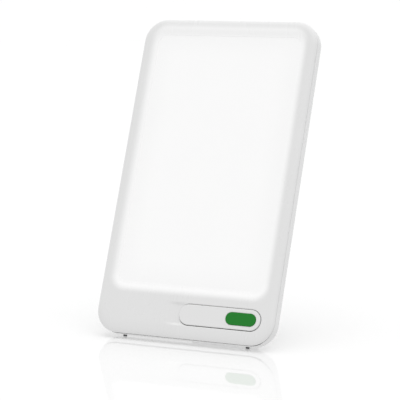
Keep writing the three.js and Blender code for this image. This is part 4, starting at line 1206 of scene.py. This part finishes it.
class LAMP_OT_stand(bpy.types.Operator):
    """Moulds the fold-out leg with its pads, and turns its hinge pin and washers"""

    bl_idname = "lamp.stand"
    bl_label = "Stand"

    def execute(self, context):
        sizes, colours = context.scene.lamp_stand, context.scene.lamp_colours
        self.leg(sizes, colours)
        rubber = soft_rubber("Pad rubber", colours.rubber)
        for node in PADS:
            pad = soften_edges(merged_copy(node, f"rubber_{node}"), sizes.soft_edge)
            finish_piece(pad, UPRIGHT, "leg", [node], rubber)
        self.hinge(sizes, colours)
        return {"FINISHED"}

    def leg(self, sizes, colours):
        outline = Outline(-LEG_HIGH.x, LEG_HIGH.x, LEG_LOW.y, LEG_HIGH.y, sizes.corner)
        inner, soft = outline.grown(-sizes.rim), sizes.soft_edge
        outer, bed = -sizes.outer, sizes.plate - sizes.outer
        rings = quarter(outline, outer, sizes.edge, -1, 1)
        rings += round_top(outline, sizes.rim_top, soft, SMALL_EDGE_STEPS)
        rings += quarter(inner, sizes.rim_top, soft, 1, -1, SMALL_EDGE_STEPS)
        rings += reversed(quarter(inner, bed, soft, -1, 1, SMALL_EDGE_STEPS))
        leg = loft_solid("fold_out_leg", rings)
        heel = sizes.heel - sizes.outer
        above = slabs("leg_above_hinge", [((-FAR, 0, heel), (FAR, FAR, FAR))])
        combine(leg, [above], "DIFFERENCE")
        combine(leg, self.leg_fittings(sizes, outer, bed, heel), "UNION")
        room = Vector((CLEARANCE, CLEARANCE, CLEARANCE))
        boxes = [box_in(LEG, node) for node in PADS]
        slots = slabs("pad_slots", [(low - room, high + room) for low, high in boxes])
        bore = rods("leg_bore", sizes.pin + CLEARANCE, -FAR, FAR, [(0, 0, 0)], turn=ALONG_X)
        combine(leg, [bore, slots], "DIFFERENCE")
        white = moulded_plastic("Leg white", colours.leg_white, roughness=0.36)
        finish_piece(leg, LEG, "leg", ["stand_leg"], white)

    def leg_fittings(self, sizes, outer, bed, heel):
        """The heel at the hinge with its barrel, the ribs and the blocks round the pads."""
        half, rib, end, floor = LEG_HIGH.x, sizes.rib / 2, LEG_LOW.y, outer + BURY
        inset, height = sizes.corner, sizes.rib_height
        heels = [((inset - half, -BURY, floor), (half - inset, LEG_HIGH.y - sizes.edge, heel))]
        along, across, blocks = [], [], []
        for side in (-1, 1):
            x = side * sizes.rib_offset
            along.append(((x - rib, end + sizes.rim, bed - BURY), (x + rib, 0, height)))
            x, reach = side * sizes.pad_middle, sizes.pad_length / 2 + sizes.rim
            high = (x + reach, end + sizes.pad_block, sizes.rim_top - STEP_BACK)
            blocks.append(((x - reach, end + BURY, floor), high))
        for share in LEG_RIB_SHARES:
            y, reach = share * end, half - sizes.rim / 2
            high = (reach, y + rib, height - STEP_BACK)
            across.append(((-reach, y - rib, bed - BURY), high))
        return [
            slabs("leg_heel", heels),
            slabs("leg_long_ribs", along),
            slabs("leg_cross_ribs", across),
            slabs("leg_pad_blocks", blocks),
            rods("leg_barrel", LEG_BARREL, -half, half, [(0, 0, 0)], ROUND_SIDES, ALONG_X),
        ]

    def hinge(self, sizes, colours):
        steel = plated_metal("Hinge steel", colours.zinc, roughness=0.3, stretch=(0.1, 1, 1))
        low, high = box_in(LEG, "stand_hinge_pin")
        profile = [(0, low.x)] + turned_quarter(sizes.pin, low.x, sizes.soft_edge, -1, 1)
        profile += reversed(turned_quarter(sizes.pin, high.x, sizes.soft_edge, -1, -1))
        profile.append((0, high.x))
        pin = turned("hinge_pin", profile, [(0, 0, 0)], SMALL_SIDES, ALONG_X)
        finish_piece(pin, LEG, "housing", ["stand_hinge_pin"], steel)
        inner = sizes.pin + CLEARANCE
        for node in ("friction_washer_left", "friction_washer_right"):
            low, high = box_in(LEG, node)
            section = [(inner, low.x), (high.y, low.x), (high.y, high.x), (inner, high.x)]
            section.append(section[0])
            washer = turned(f"spring_{node}", section, [(0, 0, 0)], turn=ALONG_X)
            finish_piece(washer, LEG, "housing", [node], steel)


class LAMP_OT_power_inlet(bpy.types.Operator):
    """Makes the power inlet: a square body, a round barrel and its contact pin"""

    bl_idname = "lamp.power_inlet"
    bl_label = "Power Inlet"

    def execute(self, context):
        colours, edge = context.scene.lamp_colours, context.scene.lamp_cover.small_edge
        inside = PANEL_LOW.z + context.scene.lamp_cover.wall
        tip, floor = JACK_LOW.z, JACK_LOW.z + JACK_BORE_DEPTH
        places = [middle_of(JACK_LOW, JACK_HIGH)]
        low = (JACK_LOW.x, JACK_LOW.y, inside + CLEARANCE)
        body = soften_edges(slabs("power_inlet_jack", [(low, JACK_HIGH)]), edge)
        room = rods("jack_room", JACK_BORE + BURY, inside, floor + BURY, places, ROUND_SIDES)
        combine(body, [room], "DIFFERENCE")
        sleeve, end, closed = JACK_BORE + 2 * BURY, inside + OVERRUN, floor + 2 * BURY
        profile = [(0, floor), (JACK_BORE, floor)]
        profile += reversed(turned_quarter(JACK_BORE, tip, edge, 1, 1))
        profile += turned_quarter(JACK_BARREL, tip, edge, -1, 1)
        profile += [(JACK_BARREL, end), (sleeve, end), (sleeve, closed), (0, closed)]
        combine(body, [turned("jack_barrel", profile, places)], "UNION")
        black = moulded_plastic("Inlet black", colours.black, roughness=0.38, grain=0.00003)
        finish_piece(body, FACE, "housing", ["dc_jack"], black)
        tip += OVERRUN
        profile = [(0, floor + BURY), (JACK_PIN, floor + BURY)]
        profile += reversed(turned_quarter(JACK_PIN, tip, JACK_PIN / 2, -1, 1, HEAD_STEPS))
        pin = turned("inlet_contact_pin", [*profile, (0, tip)], places, SMALL_SIDES)
        steel = plated_metal("Contact metal", colours.zinc, roughness=0.25, stretch=(1, 1, 0.1))
        finish_piece(pin, FACE, "housing", [], steel)
        return {"FINISHED"}


class LAMP_OT_screws(bpy.types.Operator):
    """Turns the pan-head screws of the cover and of the control board, with cross recesses"""

    bl_idname = "lamp.screws"
    bl_label = "Screws"

    def execute(self, context):
        colour = context.scene.lamp_colours.zinc
        zinc = plated_metal("Screw zinc", colour, roughness=0.32, stretch=(1, 1, 1))
        for node in COVER_SCREWS:
            self.screw(node, SCREW_HEAD, SCREW_SHANK, -1, zinc)
        for node in BOARD_SCREWS:
            low, high = box_in(FACE, node)
            self.screw(node, (high.x - low.x) / 2, BOARD_SHANK, 1, zinc)
        return {"FINISHED"}

    def screw(self, node, head, shank, facing, material):
        """A screw whose head faces the back (-1) or the front (1)."""
        low, high = box_in(FACE, node)
        top, end = (low.z, high.z) if facing < 0 else (high.z, low.z)
        into, height = -facing, head * HEAD_SHARE
        seat, root = top + into * height, shank - THREAD_DEPTH
        profile = [(0, top), *turned_quarter(head, top, height / 2, -1, into, HEAD_STEPS)]
        profile += [(head, seat), (shank, seat)]
        for step in range(int(abs(end - seat) / THREAD_PITCH) - 1):
            level = seat + into * THREAD_PITCH * (step + 0.5)
            profile += [(root, level), (shank, level + into * THREAD_PITCH / 2)]
        profile += [(root, end - into * shank), (0, end)]
        middle = middle_of(low, high)
        screw = turned(f"pan_{node}", profile, [middle], SMALL_SIDES)
        depth = height * CROSS_DEPTH_SHARE
        start, floor = sorted((top - into * OVERRUN, top + into * depth))
        arm, width = head * CROSS_ARM_SHARE, head * CROSS_WIDTH_SHARE
        for across, up in ((arm, width), (width, arm)):
            low = (middle.x - across, middle.y - up, start)
            slot = slabs("cross_slot", [(low, (middle.x + across, middle.y + up, floor))])
            combine(screw, [slot], "DIFFERENCE")
        finish_piece(screw, FACE, "housing", [node], material)


class LAMP_OT_inner_parts(bpy.types.Operator):
    """Gives the light box, the switch, the board and the leads their finishes"""

    bl_idname = "lamp.inner_parts"
    bl_label = "Inner Parts"

    def execute(self, context):
        colours = context.scene.lamp_colours
        film, black, zinc = colours.film, colours.black, colours.zinc
        strip = moulded_plastic("Strip board", film, roughness=0.4)
        lead = moulded_plastic("Lead sheath", film, roughness=0.5)
        switch = moulded_plastic("Switch black", black, roughness=0.4, grain=0.00002)
        plunger = moulded_plastic("Plunger white", film, roughness=0.35)
        sheet = moulded_plastic("White film", film, roughness=0.5, grain=0.00002)
        rolled = plated_metal("Rolled sheet", colours.tray, roughness=0.35, stretch=(1, 0.05, 1))
        pin = plated_metal("Pin steel", zinc, roughness=0.28, stretch=(1, 0.1, 1))
        finishes = {
            "light_guide_plate": clear_sheet("Clear acrylic"),
            "reflector_sheet": sheet,
            "light_tray": rolled,
            "led_strip_left": strip,
            "led_strip_right": strip,
            "control_board": painted_board("Board green", colours.board),
            "push_switch_body": switch,
            "switch_plunger": plunger,
            "led_lead_left": lead,
            "led_lead_right": lead,
            "key_pivot_pin": pin,
        }
        for node, material in finishes.items():
            frame["nodes"][node].material_slots[0].material = material
        return {"FINISHED"}


class LAMP_OT_stage(bpy.types.Operator):
    """Sets the pale floor, the soft studio light and the camera"""

    bl_idname = "lamp.stage"
    bl_label = "Stage"

    def execute(self, context):
        scene, settings = context.scene, context.scene.lamp_stage
        scene.view_settings.view_transform = "Standard"
        self.floor(settings)
        self.world(scene, settings)
        self.light(scene, settings)
        self.camera(scene, settings)
        return {"FINISHED"}

    def floor(self, settings):
        """A glossy light table: it shows the lamp's shadow and lets light through from below."""
        bm = bmesh.new()
        bmesh.ops.create_grid(bm, x_segments=1, y_segments=1, size=settings.floor_size / 2)
        floor = new_solid("floor", bm)
        material = bpy.data.materials.new("Floor")
        material.use_nodes = True
        tree = material.node_tree
        tree.nodes.remove(tree.nodes["Principled BSDF"])
        factors = {0: self.seen_rays(tree), 1: settings.floor_lift}
        lift = add_node(tree, "Math", factors, operation="MULTIPLY")
        matt = add_node(tree, "BsdfDiffuse", {"Color": (*settings.floor_white, 1)})
        glow = add_node(tree, "Emission", {"Strength": lift})
        gloss = {"Color": WHITE, "Roughness": settings.floor_roughness}
        table = add_node(tree, "AddShader", {0: matt, 1: glow})
        fresnel = add_node(tree, "Fresnel", {"IOR": settings.floor_gloss})
        sheen = add_node(tree, "BsdfGlossy", gloss)
        self.show_mix(tree, "Material Output", fresnel, table, sheen)
        floor.data.materials.append(material)
        floor.visible_diffuse = False
        floor.visible_shadow = False

    def seen_rays(self, tree):
        """1 for rays of the camera, of reflections and through glass, 0 for rays that light."""
        path = add_node(tree, "LightPath")
        seen = path.outputs["Is Camera Ray"]
        for ray in ("Is Glossy Ray", "Is Transmission Ray"):
            seen = add_node(tree, "Math", {0: seen, 1: path.outputs[ray]}, operation="MAXIMUM")
        return seen

    def show_mix(self, tree, output, share, first, second):
        """Sends a mix of two shaders to a tree's output."""
        mix = add_node(tree, "MixShader", {0: share, 1: first, 2: second})
        set_inputs(tree, tree.nodes[output], {"Surface": mix})

    def world(self, scene, settings):
        """White where the camera or a reflection looks past the object, and softer as light."""
        scene.world = bpy.data.worlds.new("Studio")
        scene.world.use_nodes = True
        tree = scene.world.node_tree
        ambient = tree.nodes["Background"]
        set_inputs(tree, ambient, {"Color": WHITE, "Strength": settings.ambient})
        white = add_node(tree, "Background", {"Color": WHITE})
        self.show_mix(tree, "World Output", self.seen_rays(tree), ambient, white)

    def light(self, scene, settings):
        """One wide, soft light, as even over the floor as over the object."""
        data = bpy.data.lights.new("Overhead light", "SUN")
        data.energy = settings.overhead
        data.angle = settings.overhead_spread
        lamp = bpy.data.objects.new("Overhead light", data)
        lamp.rotation_euler = Vector(settings.overhead_from).to_track_quat("Z", "Y").to_euler()
        scene.collection.objects.link(lamp)

    def camera(self, scene, settings):
        data = bpy.data.cameras.new("Camera")
        data.lens = settings.camera_lens
        camera = bpy.data.objects.new("Camera", data)
        turn, rise = settings.camera_turn, settings.camera_rise
        level = math.cos(rise)
        away = Vector((math.sin(turn) * level, -math.cos(turn) * level, math.sin(rise)))
        camera.location = Vector(settings.camera_aim) + away * settings.camera_distance
        camera.rotation_euler = (-away).to_track_quat("-Z", "Y").to_euler()
        scene.collection.objects.link(camera)
        scene.camera = camera


class LAMP_PT_parts(bpy.types.Panel):
    """Lists the steps that build the lamp"""

    bl_idname = "LAMP_PT_parts"
    bl_label = "Light Therapy Lamp"
    bl_space_type = "VIEW_3D"
    bl_region_type = "UI"
    bl_category = "Lamp"

    def draw(self, context):
        for step in STEPS:
            self.layout.operator(step.bl_idname)


STEPS = (
    LAMP_OT_stage,
    LAMP_OT_front_frame,
    LAMP_OT_rear_cover,
    LAMP_OT_diffuser,
    LAMP_OT_power_key,
    LAMP_OT_feet,
    LAMP_OT_stand,
    LAMP_OT_power_inlet,
    LAMP_OT_screws,
    LAMP_OT_inner_parts,
)
SETTINGS = {
    "lamp_frame": LampFrameSizes,
    "lamp_cover": LampCoverSizes,
    "lamp_key": LampKeySizes,
    "lamp_stand": LampStandSizes,
    "lamp_colours": LampColours,
    "lamp_stage": LampStageSettings,
}
CLASSES = (*SETTINGS.values(), *STEPS, LAMP_PT_parts)


def register():
    for cls in CLASSES:
        bpy.utils.register_class(cls)
    for name, group in SETTINGS.items():
        setattr(bpy.types.Scene, name, PointerProperty(type=group))


def unregister():
    for name in SETTINGS:
        delattr(bpy.types.Scene, name)
    for cls in reversed(CLASSES):
        bpy.utils.unregister_class(cls)


def main():
    register()
    for step in STEPS:
        group, name = step.bl_idname.split(".")
        getattr(getattr(bpy.ops, group), name)()


if __name__ == "__main__":
    main()
